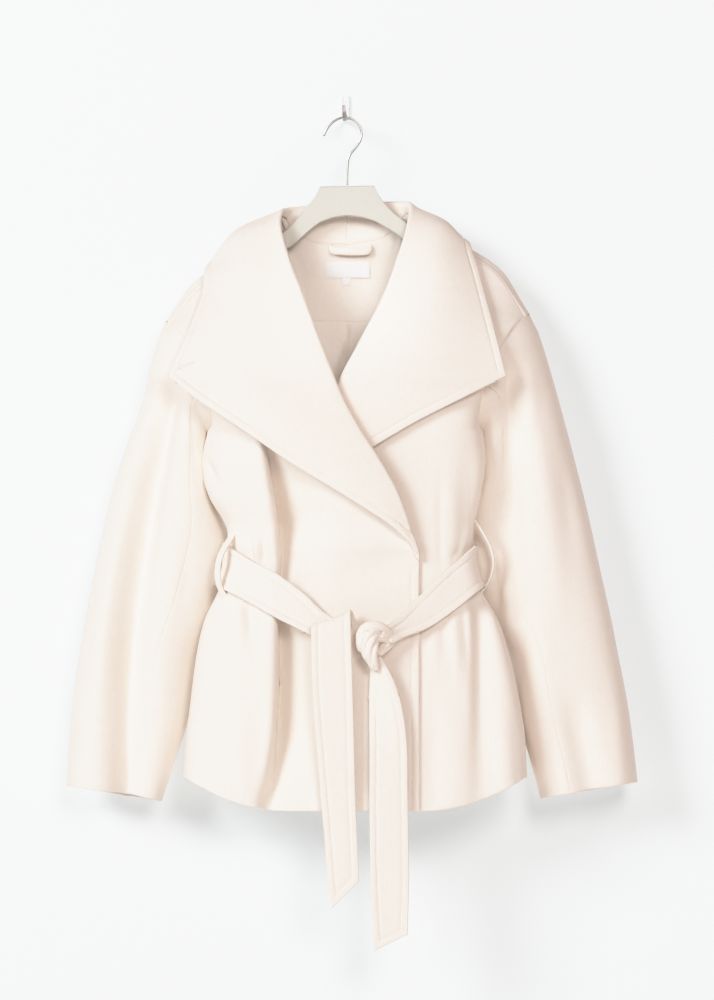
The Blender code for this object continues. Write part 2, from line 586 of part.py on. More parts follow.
# s: along the strap from its side seam to the knot; t, l: its top and lower edges
BELT_COLUMNS = "s tgx tgy lgx lgy lift"
BELT_FRONT = {
    "right": table(BELT_COLUMNS, (0.00, 229.0, 542, 221.0, 588, 3.3), (0.12, 238.0, 549, 231.0, 594, 2.0),
                   (0.30, 256.0, 561, 251.0, 605, 1.0), (0.50, 280.0, 575, 272.0, 617, 1.5),
                   (0.72, 305.0, 594, 296.0, 629, 1.5), (0.86, 326.0, 614, 316.0, 638, 1.5),
                   (1.00, 351.0, 627, 349.0, 646, 0.5)),
    "left": table(BELT_COLUMNS, (0.00, 471.0, 545, 479.5, 589, 3.3), (0.12, 463.0, 553, 472.0, 597, 2.0),
                  (0.30, 448.0, 567, 455.0, 611, 1.0), (0.55, 421.0, 594, 426.0, 629, 2.0),
                  (0.78, 402.0, 616, 406.0, 637, 8.0), (1.00, 389.5, 630, 391.0, 645, 16.0)),
}


def belt_front(side):
    s = np.linspace(0, 1, 15) ** 1.3
    tgx, tgy, lgx, lgy, lift = read(BELT_FRONT[side], "s", BELT_COLUMNS[2:], s).T
    grid, lifts = [], []
    for across in np.linspace(0, 1, 4):
        gx, gy = tgx + (lgx - tgx) * across, tgy + (lgy - tgy) * across
        edge, sign = side_gx(side, gy), 1.0 if side == "right" else -1.0
        gx = edge + sign * np.where(s > 0, np.maximum((gx - edge) * sign, 70 * s), 0)
        grid.append(front_place(side, gx, gy))
        lifts.append(lift)
    return strap("belt_front_" + side, np.swapaxes(np.array(grid), 0, 1), BELT), np.array(lifts).T[..., None]


def belt_back():
    off = np.linspace(0, 1, 23)
    off = 0.4 * off + 0.6 * np.where(off < 0.5, 2 * off**2, 1 - 2 * (1 - off) ** 2)
    top, low = 542 + 3 * off, 588 + off
    grid = [back_place(off, top + (low - top) * across) for across in np.linspace(0, 1, 4)]
    lifts = 1.3 + 2.0 * np.exp(-np.minimum(off, 1 - off) / 0.03)
    return strap("belt_back", np.swapaxes(np.array(grid), 0, 1), BELT), lifts[:, None, None]


def belt_loop(side, rows, flat):
    """A strap down the side seam, over the belt. rows: gy and how far it stands off there."""
    grid, lifts = [], []
    for gy, lift in rows:
        if flat:     # facing forwards, just in front of the side seam
            gx = side_gx(side, gy) + np.array([3.0, 6.0, 9.2]) * (1 if side == "right" else -1)
            grid.append(front_place(side, gx, np.full(3, float(gy))))
        else:        # edge on to the front
            out = side_gx(side, gy)
            grid.append([[out, gy, smooth(LEVELS, BODY["side"], gy) + d] for d in (-11.5, -8, -4.5)])
        lifts.append([lift] * 3)
    loop = strap("belt_loop_" + side, np.array(grid, float), LOOP)
    stand_off(loop, np.array(lifts, float)[..., None])
    return loop


TAIL_COLUMNS = "gy_l gx_l gy_r gx_r d"
TAIL = {
    # the strap comes up behind, turns over at the top and hangs down in front
    "right": table(TAIL_COLUMNS, (641, 315.0, 634, 350.5, -92.5), (629.5, 312.5, 617.5, 351.5, -92.8),
                   (626.0, 311.3, 613.3, 351.7, -94.2), (625.0, 311.0, 612.0, 351.7, -96.5),
                   (627.5, 310.6, 614.5, 351.7, -99.2), (645, 310.6, 640, 351.8, -100.2),
                   (689, 311.8, 689, 353.6, -100.2), (740, 315.5, 740, 354.8, -100.0),
                   (800, 320.5, 800, 356.2, -100.5), (850, 325.0, 850, 358.3, -101.0),
                   (880, 327.2, 868, 359.2, -101.0), (910, 331.0, 881.5, 359.5, -101.0)),
    "left": table(TAIL_COLUMNS, (676, 371.0, 673, 386.0, -96.0), (690, 369.3, 686, 396.0, -97.5),
                  (712, 369.0, 708, 403.5, -98.5), (745, 369.0, 740, 407.5, -99.5),
                  (790, 368.8, 790, 408.6, -100.0), (840, 369.0, 840, 409.4, -100.5),
                  (885, 370.0, 885, 409.8, -101.0), (925, 372.0, 915, 409.0, -101.5),
                  (952, 373.7, 935, 408.5, -102.0)),
}


def belt_tail(side):
    t = TAIL[side]
    rows = []
    for k in range(len(t["d"])):
        a, b = (np.array([t["gx_" + e][k], t["gy_" + e][k], t["d"][k]]) for e in "lr")
        rows.append([a + (b - a) * f for f in np.linspace(0, 1, 4)])
    return Cloth("belt_tail_" + side, draft(rows), BELT)


# ---------------------------------------------------------------- small solids
def loft(name, rings, mat, flat=False):
    """A closed solid through rings of points, ends capped."""
    rings = np.asarray(rings, float)
    count, around = rings.shape[:2]
    faces = []
    for r in range(count - 1):
        for c in range(around):
            a, b = r * around + c, r * around + (c + 1) % around
            faces += [(a, b, b + around), (a, b + around, a + around)]
    points = rings.reshape(-1, 3)
    first, last = points[:around].mean(0), points[-around:].mean(0)
    n = len(points)
    points = np.concatenate([points, [first, last]])
    for c in range(around):
        a, b = c, (c + 1) % around
        faces += [(b, a, n), (n - around + a, n - around + b, n + 1)]
    corner = points[[list(f) for f in faces]]
    volume = np.einsum("ij,ij->i", corner[:, 0], np.cross(corner[:, 1], corner[:, 2])).sum()
    if volume < 0:
        faces = [f[::-1] for f in faces]
    solid(name, points, faces, mat, flat)


KNOT = table("gy left right back front",
             (623.0, 366.5, 377.5, -94, -104), (630, 359.0, 385.5, -90, -111), (640, 356.5, 387.5, -88, -116),
             (652, 357.0, 386.5, -88, -117), (663, 361.0, 384.0, -89, -114), (671, 366.0, 380.5, -92, -108),
             (674.0, 369.5, 377.0, -96, -104))


def knot():
    turn = np.linspace(0, 2 * math.pi, 15)[:-1]
    rings = []
    for k in range(len(KNOT["gy"])):
        gy, l, r, b, f = (KNOT[c][k] for c in ("gy", "left", "right", "back", "front"))
        rings.append(draft(np.stack([(l + r) / 2 + (r - l) / 2 * np.cos(turn), np.full(14, gy),
                                     (b + f) / 2 + (b - f) / 2 * np.sin(turn)], -1)))
    loft("belt_knot", rings, wool("belt_knot"))


BOARD = table("gx top low",
              (190.0, 298.0, 301.0), (192.5, 294.5, 305.0), (198.0, 290.0, 305.0), (212, 280.0, 297.0),
              (232, 265.5, 283.0), (256, 249.0, 266.5), (280, 235.5, 254.0), (296, 220.5, 243.0),
              (307, 207.0, 233.0), (313, 199.0, 228.0), (316.5, 193.0, 225.5), (319.5, 186.4, 223.0),
              (333, 186.0, 218.0), (347, 185.8, 216.0), (361, 185.6, 217.5), (374, 185.4, 221.0),
              (377.5, 193.0, 223.0), (382, 200.0, 225.5), (388, 207.0, 229.0), (398, 216.0, 235.5),
              (409, 224.6, 243.5), (434, 238.0, 258.0), (458, 252.5, 273.0), (480, 267.0, 288.0),
              (497, 279.0, 300.0), (503, 284.0, 301.0), (506, 289.5, 297.5))


def hanger():
    chamfer = 1.5
    rings = []
    for gx, top, low in zip(BOARD["gx"], BOARD["top"], BOARD["low"]):
        d, c = HANGER / 2, chamfer
        c2 = min(c / UNIT, (low - top) * 0.3)
        rings.append(draft([[gx, top, -d + c], [gx, top, d - c], [gx, top + c2, d], [gx, low - c2, d],
                            [gx, low, d - c], [gx, low, -d + c], [gx, low - c2, -d], [gx, top + c2, -d]]))
    loft("hanger_body", rings, material("hanger_paint", (0.78, 0.74, 0.66), 0.55))


WIRE_PATH = table("gx gy", (324.0, 135.0), (327.0, 129.0), (331.7, 123.2), (337.5, 119.3), (344.5, 117.6),
                  (351.5, 119.0), (357.6, 123.4), (361.0, 129.5), (361.6, 135.5), (359.6, 142.0), (355.4, 148.0),
                  (350.6, 154.0), (348.2, 160.0), (347.5, 168.0), (347.2, 177.0), (347.2, 185.0))


def tube(name, path, diameter, around, mat):
    path = np.asarray(path, float)
    along = unit(np.gradient(path, axis=0))
    turn = np.linspace(0, 2 * math.pi, around + 1)[:-1]
    rings = []
    for p, a in zip(path, along):
        u = np.array([0.0, 1.0, 0.0])
        v = unit(np.cross(a, u))
        rings.append(p + diameter / 2 * (np.cos(turn)[:, None] * u + np.sin(turn)[:, None] * v))
    loft(name, rings, mat)


def wire_hook():
    path = bend(draft(np.stack([WIRE_PATH["gx"], WIRE_PATH["gy"], np.zeros(len(WIRE_PATH["gx"]))], -1)), 30)
    tube("hanger_hook", path, WIRE, 8, material("hook_steel", (0.72, 0.71, 0.69), 0.35, 1.0))


# the wall hook: a strip from its plate, forward as a tongue under the wire, up into a prong
STRIP = table("gx gy d wide",
              (346.0, 96.0, 44.8, 7.5), (346.0, 108.0, 44.8, 8.0), (346.0, 116.0, 44.8, 8.0),
              (345.9, 119.6, 44.0, 7.5), (345.8, 121.0, 41.0, 6.5), (345.4, 120.75, 20.0, 5.5),
              (345.0, 120.35, 0.0, 5.2), (344.9, 119.9, -5.5, 5.2), (344.6, 117.6, -8.6, 5.2),
              (344.2, 112.0, -9.6, 5.0), (343.4, 105.0, -10.0, 3.6))


def wall_hook():
    thick = 2.4
    mid = draft(np.stack([STRIP["gx"], STRIP["gy"], STRIP["d"]], -1))
    along = unit(np.gradient(mid, axis=0))
    along[0] = along[1] = along[2] = (0, 0, -1)
    out = unit(np.cross(along, [1.0, 0, 0]))
    rings = []
    for p, o, w in zip(mid, out, STRIP["wide"]):
        c = 0.5
        across = np.array([1.0, 0, 0])
        rings.append([p + across * x + o * y for x, y in
                      ((-w / 2 + c, -thick / 2), (w / 2 - c, -thick / 2), (w / 2, -thick / 2 + c),
                       (w / 2, thick / 2 - c), (w / 2 - c, thick / 2), (-w / 2 + c, thick / 2),
                       (-w / 2, thick / 2 - c), (-w / 2, -thick / 2 + c))])
    loft("wall_hook", rings, material("wall_hook_plastic", (0.85, 0.85, 0.85), 0.2), flat=True)


def inside_of(piece, gx, gy, off):
    """Places on a piece as the eye sees them through squares of the draft, moved towards the eye."""
    rows, cols = piece.mid.shape[:2]
    tris = []
    for r in range(rows - 1):
        for c in range(cols - 1):
            a, b, e, f = r * cols + c, r * cols + c + 1, (r + 1) * cols + c + 1, (r + 1) * cols + c
            tris += [(a, b, e), (a, e, f)]
    tree = BVHTree.FromPolygons(piece.mid.reshape(-1, 3).tolist(), tris)
    eye = draft([EYE_GX, EYE_GY, 0.0]) - np.array([0, EYE, 0])
    out = []
    for x, y in zip(np.ravel(gx), np.ravel(gy)):
        through = draft([x, y, 0.0]) - eye
        hit = tree.ray_cast(eye.tolist(), through.tolist())[0]
        out.append(np.array(hit) - np.array([0, off, 0]))
    return np.array(out).reshape(*np.shape(gx), 3)


def patch(name, piece, left, right, top, low, thick, cols, rows):
    gx, gy = np.meshgrid(np.linspace(left, right, cols), np.linspace(top, low, rows))
    return Cloth(name, inside_of(piece, gx, gy, CLOTH / 2 + 0.35 + thick / 2), thick)


NECK_LOOP = table("gx gy d", (330.0, 247.0, 13.6), (330.6, 249.0, 12.2), (334.0, 250.6, 10.8), (342.0, 251.3, 10.2),
                  (351.0, 251.6, 10.0), (360.0, 251.6, 10.2), (367.0, 251.2, 10.8), (370.6, 249.8, 12.2),
                  (371.2, 248.2, 13.6))


def neck_loop():
    mid = np.stack([NECK_LOOP["gx"], NECK_LOOP["gy"], NECK_LOOP["d"]], -1)
    rows = [mid + np.array([0, off / UNIT, 0]) for off in (-3.4, 0, 3.4)]
    return Cloth("neck_loop", draft(rows), LOOP)


# ---------------------------------------------------------------- the jacket, sewn together
over, under = front("right"), front("left")
yoke_piece = yoke()
back_piece = back(yoke_piece)
sleeves = {side: sleeve(side) for side in ("left", "right")}
collars = {"right": collar("right", "collar_over"), "left": collar("left", "collar_under")}
fronts = {"right": over, "left": under}

LOW = len(LEVELS)            # rows of a front up to the underarm
half = (FRONT_COLUMNS + 1) // 2
ALL = slice(None)
for side, back_col, inner_col in (("right", 0, 1), ("left", -1, -2)):
    body, (top, low), neck = fronts[side], sleeves[side], collars[side]
    body_back = len(BACK_PHI) + 1 + np.arange(LOW)[::-1]
    sew(body, (np.arange(LOW), 0), back_piece, (body_back, back_col))
    front_phi = np.concatenate([[180.0], UPPER_PHI])
    for k, phi in enumerate(front_phi):
        piece, start = (top, BACK_SEAM) if phi < FRONT_SEAM else (low, FRONT_SEAM)
        sew(body, ([LOW - 1 + k], [0]), piece, ([0], [int(round((phi - start) / TURN))]))
    for k, phi in enumerate(YOKE_PHI):
        sew(yoke_piece, ([k], [back_col]), top, ([0], [int(round((phi - BACK_SEAM) / TURN))]))
    for k, phi in enumerate(np.concatenate([BACK_PHI, [-180.0]])):
        if phi >= BACK_SEAM:
            sew(back_piece, ([k + 1], [back_col]), top, ([0], [int(round((phi - BACK_SEAM) / TURN))]))
        if phi <= BACK_SEAM:
            sew(back_piece, ([k + 1], [back_col]), low, ([0], [int(round((phi + 360 - FRONT_SEAM) / TURN))]))
    sew(top, (ALL, -1), low, (ALL, 0))
    sew(top, (ALL, 0), low, (ALL, -1))
    shoulder = np.arange(half) if side == "right" else yoke_piece.mid.shape[1] - 1 - np.arange(half)
    sew(body, (-1, np.arange(0, FRONT_COLUMNS, 2)), yoke_piece, (0, shoulder))
    odd = np.arange(1, FRONT_COLUMNS, 2)
    body.normal[-1, odd] = unit(body.normal[-1, odd - 1] + body.normal[-1, odd + 1])
    first = int((LEVELS >= FOOT[side]).sum())
    count = body.mid.shape[0] - first
    lead = 1 if side == "right" else 0
    sew(body, (first + np.arange(count), -1), neck, (lead + np.arange(count), 0))
    stations = np.arange(len(NECK_STATIONS))
    neck_cols = half + stations if side == "right" else yoke_piece.mid.shape[1] - 1 - half - stations
    sew(yoke_piece, (0, neck_cols), neck, (lead + count + stations, 0))
sew(yoke_piece, (-1, ALL), back_piece, (0, ALL))
sew(collars["right"], (-1, ALL), collars["left"], (-1, ALL))

meet([over, under, yoke_piece, back_piece, *sleeves["left"], *sleeves["right"], *collars.values()])

for body in fronts.values():
    ease(body, (ALL, 0), (ALL, 1), 1.5 * SEAM)
    ease(body, (ALL, -1), (ALL, -2))
    odd = np.arange(1, FRONT_COLUMNS, 2)
    body.mid[-1, odd] = (body.mid[-1, odd - 1] + body.mid[-1, odd + 1]) / 2
    ease(body, (-1, ALL), (-2, ALL))
ease(yoke_piece, (ALL, 0), (ALL, 1))
ease(yoke_piece, (ALL, -1), (ALL, -2))
ease(yoke_piece, (0, ALL), (1, ALL))
ease(yoke_piece, (-1, ALL), (-2, ALL))
ease(back_piece, (ALL, 0), (ALL, 1), SEAM)
ease(back_piece, (ALL, -1), (ALL, -2), SEAM)
ease(back_piece, (0, ALL), (1, ALL))
for side in sleeves:
    for piece in sleeves[side]:
        ease(piece, (ALL, 0), (ALL, 1))
        ease(piece, (ALL, -1), (ALL, -2))
        ease(piece, (0, ALL), (1, ALL), 3 * SEAM)
    ease(collars[side], (ALL, 0), (ALL, 1), 3 * SEAM)
    ease(collars[side], (-1, ALL), (-2, ALL))

belt, belt_lift = belt_back()
belts, lifts = {}, {}
for side, end in (("right", 0), ("left", -1)):
    belts[side], lifts[side] = belt_front(side)
    sew(belt, (end, ALL), belts[side], (0, ALL))
stand_off(belt, belt_lift)
for side in belts:
    stand_off(belts[side], lifts[side])
ease(belt, (0, ALL), (1, ALL))
ease(belt, (-1, ALL), (-2, ALL))
for side in belts:
    ease(belts[side], (0, ALL), (1, ALL), SEAM)
loops = [belt_loop("right", ((531, 0.0), (538, 4.0), (545, 7.6), (556, 8.2), (574, 8.4), (587, 9.2), (594, 6.0),
                             (600, 0.0)), True),
         belt_loop("left", ((522, 0.0), (530, 5.0), (541, 13.0), (552, 19.0), (562, 21.5), (573, 19.0), (584, 12.5),
                            (592, 6.0), (598, 0.0)), False)]
trims = [patch("neck_label", yoke_piece, 325.6, 369.6, 263.0, 278.0, 0.8, 9, 3),
         patch("size_tab", yoke_piece, 342.6, 350.0, 278.4, 285.0, 0.8, 3, 2)]

for piece in [*fronts.values(), yoke_piece, back_piece, *collars.values(), *sleeves["left"], *sleeves["right"],
              belt, *belts.values(), belt_tail("right"), belt_tail("left"), *loops, neck_loop(), *trims]:
    piece.build()
knot()
hanger()
wire_hook()
wall_hook()
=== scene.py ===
"""Looks of a cropped wrap jacket in heavy brushed wool, with a wide grown-on collar and a tie belt, on a
flat hanger that hangs from a small wall hook.

The cloth is drafted as in the construction: gx counts squares to the right of a squared front view, gy
counts squares down, and d is the depth in millimetres behind (+) or in front of (-) the hanger's middle
plane. One square is UNIT millimetres, as an eye EYE millimetres away sees it.
"""

import math

import bmesh
import bpy
import numpy as np
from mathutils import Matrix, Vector
from mathutils.bvhtree import BVHTree
from mathutils.kdtree import KDTree


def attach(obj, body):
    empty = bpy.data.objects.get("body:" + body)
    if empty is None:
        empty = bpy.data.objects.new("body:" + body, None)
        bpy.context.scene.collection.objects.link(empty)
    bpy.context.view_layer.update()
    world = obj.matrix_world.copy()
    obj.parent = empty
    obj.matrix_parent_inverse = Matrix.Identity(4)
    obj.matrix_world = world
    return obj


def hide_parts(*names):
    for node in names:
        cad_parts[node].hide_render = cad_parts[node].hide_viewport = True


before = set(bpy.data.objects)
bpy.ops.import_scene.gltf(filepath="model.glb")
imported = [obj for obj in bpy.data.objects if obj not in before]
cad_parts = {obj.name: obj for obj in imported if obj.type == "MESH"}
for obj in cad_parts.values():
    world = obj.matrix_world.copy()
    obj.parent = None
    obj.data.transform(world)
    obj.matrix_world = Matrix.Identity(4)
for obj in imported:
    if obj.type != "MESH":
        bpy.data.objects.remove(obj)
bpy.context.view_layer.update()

# ---------------------------------------------------------------- driving dimensions, millimetres
UNIT, EYE = 1.12, 4000.0
EYE_GX, EYE_GY = 357.0, 500.0
PLATE_GX, PLATE_GY = 346.0, 108.5
WALL = 46.0
CLOTH, COLLAR, BELT, LOOP = 2.4, 3.6, 4.0, 2.0
ROLL, HANGER, WIRE = 4.2, 12.0, 3.0
WELT = 8.2             # how far inside a free edge its stitch line runs
rng = np.random.default_rng(11)


def table(columns, *rows):
    names = columns.split()
    for row in rows:
        assert len(row) == len(names), row
    return {name: np.array([row[i] for row in rows], float) for i, name in enumerate(names)}


def smooth(x, y, q):
    """A curve through the points (x, y) that doesn't overshoot, read at q. x may rise or fall."""
    x, y = np.asarray(x, float), np.asarray(y, float)
    if x[0] > x[-1]:
        x, y = x[::-1], y[::-1]
    q = np.clip(np.asarray(q, float), x[0], x[-1])
    h = np.diff(x)
    s = np.diff(y) / h
    m = np.zeros(len(x))
    m[0], m[-1] = s[0], s[-1]
    for i in range(1, len(x) - 1):
        if s[i - 1] * s[i] > 0:
            w1, w2 = 2 * h[i] + h[i - 1], h[i] + 2 * h[i - 1]
            m[i] = (w1 + w2) / (w1 / s[i - 1] + w2 / s[i])
    i = np.clip(np.searchsorted(x, q, side="right") - 1, 0, len(h) - 1)
    t = (q - x[i]) / h[i]
    return ((2 * t**3 - 3 * t**2 + 1) * y[i] + (t**3 - 2 * t**2 + t) * h[i] * m[i]
            + (-2 * t**3 + 3 * t**2) * y[i + 1] + (t**3 - t**2) * h[i] * m[i + 1])


def read(tab, key, columns, q):
    return np.stack([smooth(tab[key], tab[c], q) for c in columns.split()], -1)


def draft(p):
    """Squares and depth to millimetres in the frame."""
    p = np.asarray(p, float)
    k, k0 = 1 + p[..., 2] / EYE, 1 + WALL / EYE
    x = (p[..., 0] - EYE_GX) * UNIT * k + (EYE_GX - PLATE_GX) * UNIT * k0
    z = -(p[..., 1] - EYE_GY) * UNIT * k - (EYE_GY - PLATE_GY) * UNIT * k0
    return np.stack([x, p[..., 2] - WALL, z], -1)


def undraft(p):
    """Millimetres in the frame to squares and depth."""
    p = np.asarray(p, float)
    d = p[..., 1] + WALL
    k, k0 = 1 + d / EYE, 1 + WALL / EYE
    gx = (p[..., 0] - (EYE_GX - PLATE_GX) * UNIT * k0) / (UNIT * k) + EYE_GX
    gy = EYE_GY - (p[..., 2] + (EYE_GY - PLATE_GY) * UNIT * k0) / (UNIT * k)
    return np.stack([gx, gy, d], -1)


def unit(v):
    v = np.asarray(v, float)
    return v / np.maximum(np.linalg.norm(v, axis=-1, keepdims=True), 1e-9)


def step(a, b, x):
    """0 below a, 1 above b, smooth between."""
    t = np.clip((np.asarray(x, float) - a) / (b - a), 0, 1)
    return t * t * (3 - 2 * t)


def length_of(points):
    return np.concatenate([[0], np.cumsum(np.linalg.norm(np.diff(points, axis=0), axis=1))])


def at_run(points, at):
    run = length_of(points)
    return np.stack([np.interp(at, run, points[:, i]) for i in range(points.shape[1])], -1)


def spread(points, n):
    points = np.asarray(points, float)
    return at_run(points, np.linspace(0, length_of(points)[-1], n))


def bend(points, n, fine=24):
    """n points evenly along a smooth curve through a few points."""
    points = np.asarray(points, float)
    run = np.concatenate([[0], np.cumsum(np.sqrt(np.linalg.norm(np.diff(points, axis=0), axis=1)) + 1e-6)])
    at = np.linspace(0, run[-1], fine * len(points))
    tangents = np.gradient(points, run, axis=0)
    i = np.clip(np.searchsorted(run, at, side="right") - 1, 0, len(run) - 2)
    h = (run[i + 1] - run[i])[:, None]
    t = (at[:, None] - run[i][:, None]) / h
    curve = ((2 * t**3 - 3 * t**2 + 1) * points[i] + (t**3 - 2 * t**2 + t) * h * tangents[i]
             + (-2 * t**3 + 3 * t**2) * points[i + 1] + (t**3 - t**2) * h * tangents[i + 1])
    return spread(curve, n)


def swell(t, n):
    t = np.clip(t, 0, 1)
    return (1 - (1 - t) ** n) ** (1 / n)


# ---------------------------------------------------------------- the draft's tables, as in the construction
SLEEVE_COLUMNS = "v ogx ogy igx igy mid_o mid_i front back bow_f bow_b round"
SLEEVE = {
    "left": table(SLEEVE_COLUMNS,
                  (0.00, 529.0, 316.0, 482.0, 431.0, -4, -14, -43, 26, 16, 8, 2.0),
                  (0.03, 533.0, 324.5, 482.0, 438.0, -4, -5, -41, 27, 5, 6, 2.0),
                  (0.06, 537.0, 334.0, 480.0, 448.0, -4, 1, -41, 29, 3, 5, 2.0),
                  (0.15, 547.5, 366.0, 475.5, 476.0, -3, 10, -42, 34, 2, 2, 2.1),
                  (0.28, 563.5, 423.0, 470.0, 508.0, 0, 14, -42, 38, 0, 0, 2.7),
                  (0.42, 581.5, 490.0, 466.0, 556.0, 2, 15, -42, 40, 0, 0, 2.7),
                  (0.56, 600.0, 572.0, 478.0, 614.0, 0, 15, -42, 40, 0, 0, 2.7),
                  (0.70, 614.5, 640.0, 508.0, 660.0, -3, 10, -43, 37, 0, 0, 2.7),
                  (0.84, 627.0, 708.0, 518.5, 717.0, -5, 2, -44, 33, 0, 0, 2.7),
                  (0.94, 633.5, 755.0, 532.0, 764.0, -8, -6, -45, 28, 0, 0, 2.7),
                  (1.00, 636.4, 782.0, 541.0, 798.0, -10, -10, -45, 25, 0, 0, 2.7)),
    "right": table(SLEEVE_COLUMNS,
                   (0.00, 166.0, 323.0, 208.5, 431.0, -4, -14, -43, 26, 16, 8, 2.0),
                   (0.03, 162.7, 331.0, 206.0, 438.0, -4, -5, -41, 27, 5, 6, 2.0),
                   (0.06, 159.5, 340.0, 207.5, 448.0, -4, 1, -41, 29, 3, 5, 2.0),
                   (0.15, 151.5, 368.0, 212.0, 476.0, -3, 10, -42, 34, 2, 2, 2.1),
                   (0.28, 137.5, 414.0, 218.5, 508.0, 0, 14, -42, 38, 0, 0, 2.2),
                   (0.42, 113.5, 490.0, 233.0, 556.0, 2, 15, -42, 40, 0, 0, 2.2),
                   (0.56, 94.5, 575.0, 219.0, 611.0, 0, 15, -42, 40, 0, 0, 2.2),
                   (0.70, 83.0, 642.0, 197.0, 660.0, -3, 10, -43, 37, 0, 0, 2.2),
                   (0.84, 73.0, 710.0, 187.0, 718.0, -5, 2, -44, 33, 0, 0, 2.2),
                   (0.94, 69.3, 757.0, 171.0, 770.0, -8, -6, -45, 28, 0, 0, 2.2),
                   (1.00, 68.0, 785.5, 161.4, 801.0, -10, -10, -45, 25, 0, 0, 2.2)),
}
BODY_SIDE = {"left": -1.0, "right": 1.0}
FRONT_SEAM, BACK_SEAM = 105.0, -105.0


def sleeve_ring(side, v, phi):
    ogx, ogy, igx, igy, mid_o, mid_i, front, back, bow_f, bow_b, n = read(
        SLEEVE[side], "v", SLEEVE_COLUMNS[2:], v).T
    phi = np.radians(phi)
    c, s = np.cos(phi), np.sin(phi)
    mid = (mid_o + mid_i) / 2 + (mid_o - mid_i) / 2 * c
    cc = np.sign(c) * np.abs(c) ** (2 / n)
    ss = np.sign(s) * np.abs(s) ** (2 / n)
    hx, hy = (ogx - igx) / 2, (ogy - igy) / 2
    px, py = unit(np.stack([-hy, hx], -1)).T
    flip = np.sign(px * BODY_SIDE[side])
    bow = np.where(s > 0, bow_f, bow_b) * np.abs(s) * flip
    gx = (ogx + igx) / 2 + hx * cc + px * bow
    gy = (ogy + igy) / 2 + hy * cc + py * bow
    d = mid + np.where(ss > 0, (front - mid) * ss, (mid - back) * ss)
    return np.stack([gx, gy, d], -1)


def armhole(side, phi):
    return sleeve_ring(side, 0.0, phi)


BODY = table("level right left drop drop_b side over under back round",
             (777, 184.4, 526.0, 34, 14, -38, -91, -87.5, 31, 2.3),
             (742, 187.0, 524.5, 24, 9, -38, -89, -85.3, 30, 2.2),
             (704, 191.5, 519.0, 12, 4, -37, -86, -82.4, 29, 2.1),
             (662, 196.5, 510.5, 4, 1, -36, -82, -78.3, 28, 1.8),
             (622, 205.0, 498.0, 0, 0, -35, -77, -73.2, 26, 1.7),
             (590, 220.0, 480.0, 0, 0, -34, -72, -68.2, 24, 1.65),
             (562, 229.0, 471.0, 0, 0, -33, -70, -65.5, 23, 1.7),
             (532, 228.5, 472.0, 0, 0, -33, -73, -65, 23, 1.65),
             (496, 210.0, 479.0, 0, 0, -31, -79, -69, 24, 1.65),
             (462, 202.5, 484.5, 0, 0, -25, -83, -73, 25, 1.7),
             (431, 208.5, 482.0, 0, 0, -14, -84, -74, 25, 1.9))
LEVELS = BODY["level"]
CORNER = {"right": (118.0, 2.5), "left": (84.0, 4.6)}
CORNER_B = 95.0
WRAP_GX, WRAP_UNDER_GX = 419.0, 345.0
FOOT = {"right": 545.0, "left": 500.0}
# the large folds of the fronts: gx of the standing edge, the drop behind it, and its reach to either side
FOLD_RIGHT = table("gy gx deep near far",
                   (425, 262, 1.0, 4.0, 24), (440, 264, 12, 3.0, 30), (479, 270.5, 27, 2.4, 40), (518, 277, 31, 2.2, 40),
                   (560, 281, 18, 2.6, 32), (600, 278.5, 15, 2.6, 32), (650, 278, 28, 2.6, 38), (720, 277, 27, 3.4, 42),
                   (770, 274, 18, 6.0, 44), (812, 268, 10, 10.0, 46))
FOLD_LEFT = table("gy gx deep near far",
                  (431, 470, 0, 12, 20), (500, 468, 4, 12, 20), (560, 468, 5, 12, 20),
                  (620, 477, 9, 5, 14), (700, 479, 8, 7, 20), (800, 482, 4, 12, 24))


def fold(tab, gx, gy):
    centre, deep, near, far = read(tab, "gy", "gx deep near far", gy).T
    off = gx - centre
    after = 0.88 * np.exp(-np.abs(off / (1.1 * far)) ** 2.6) + 0.45 * np.exp(-(off / 11.0) ** 2)
    return deep * np.where(off < 0, 1.25 * np.exp(-(off / near) ** 2), after)


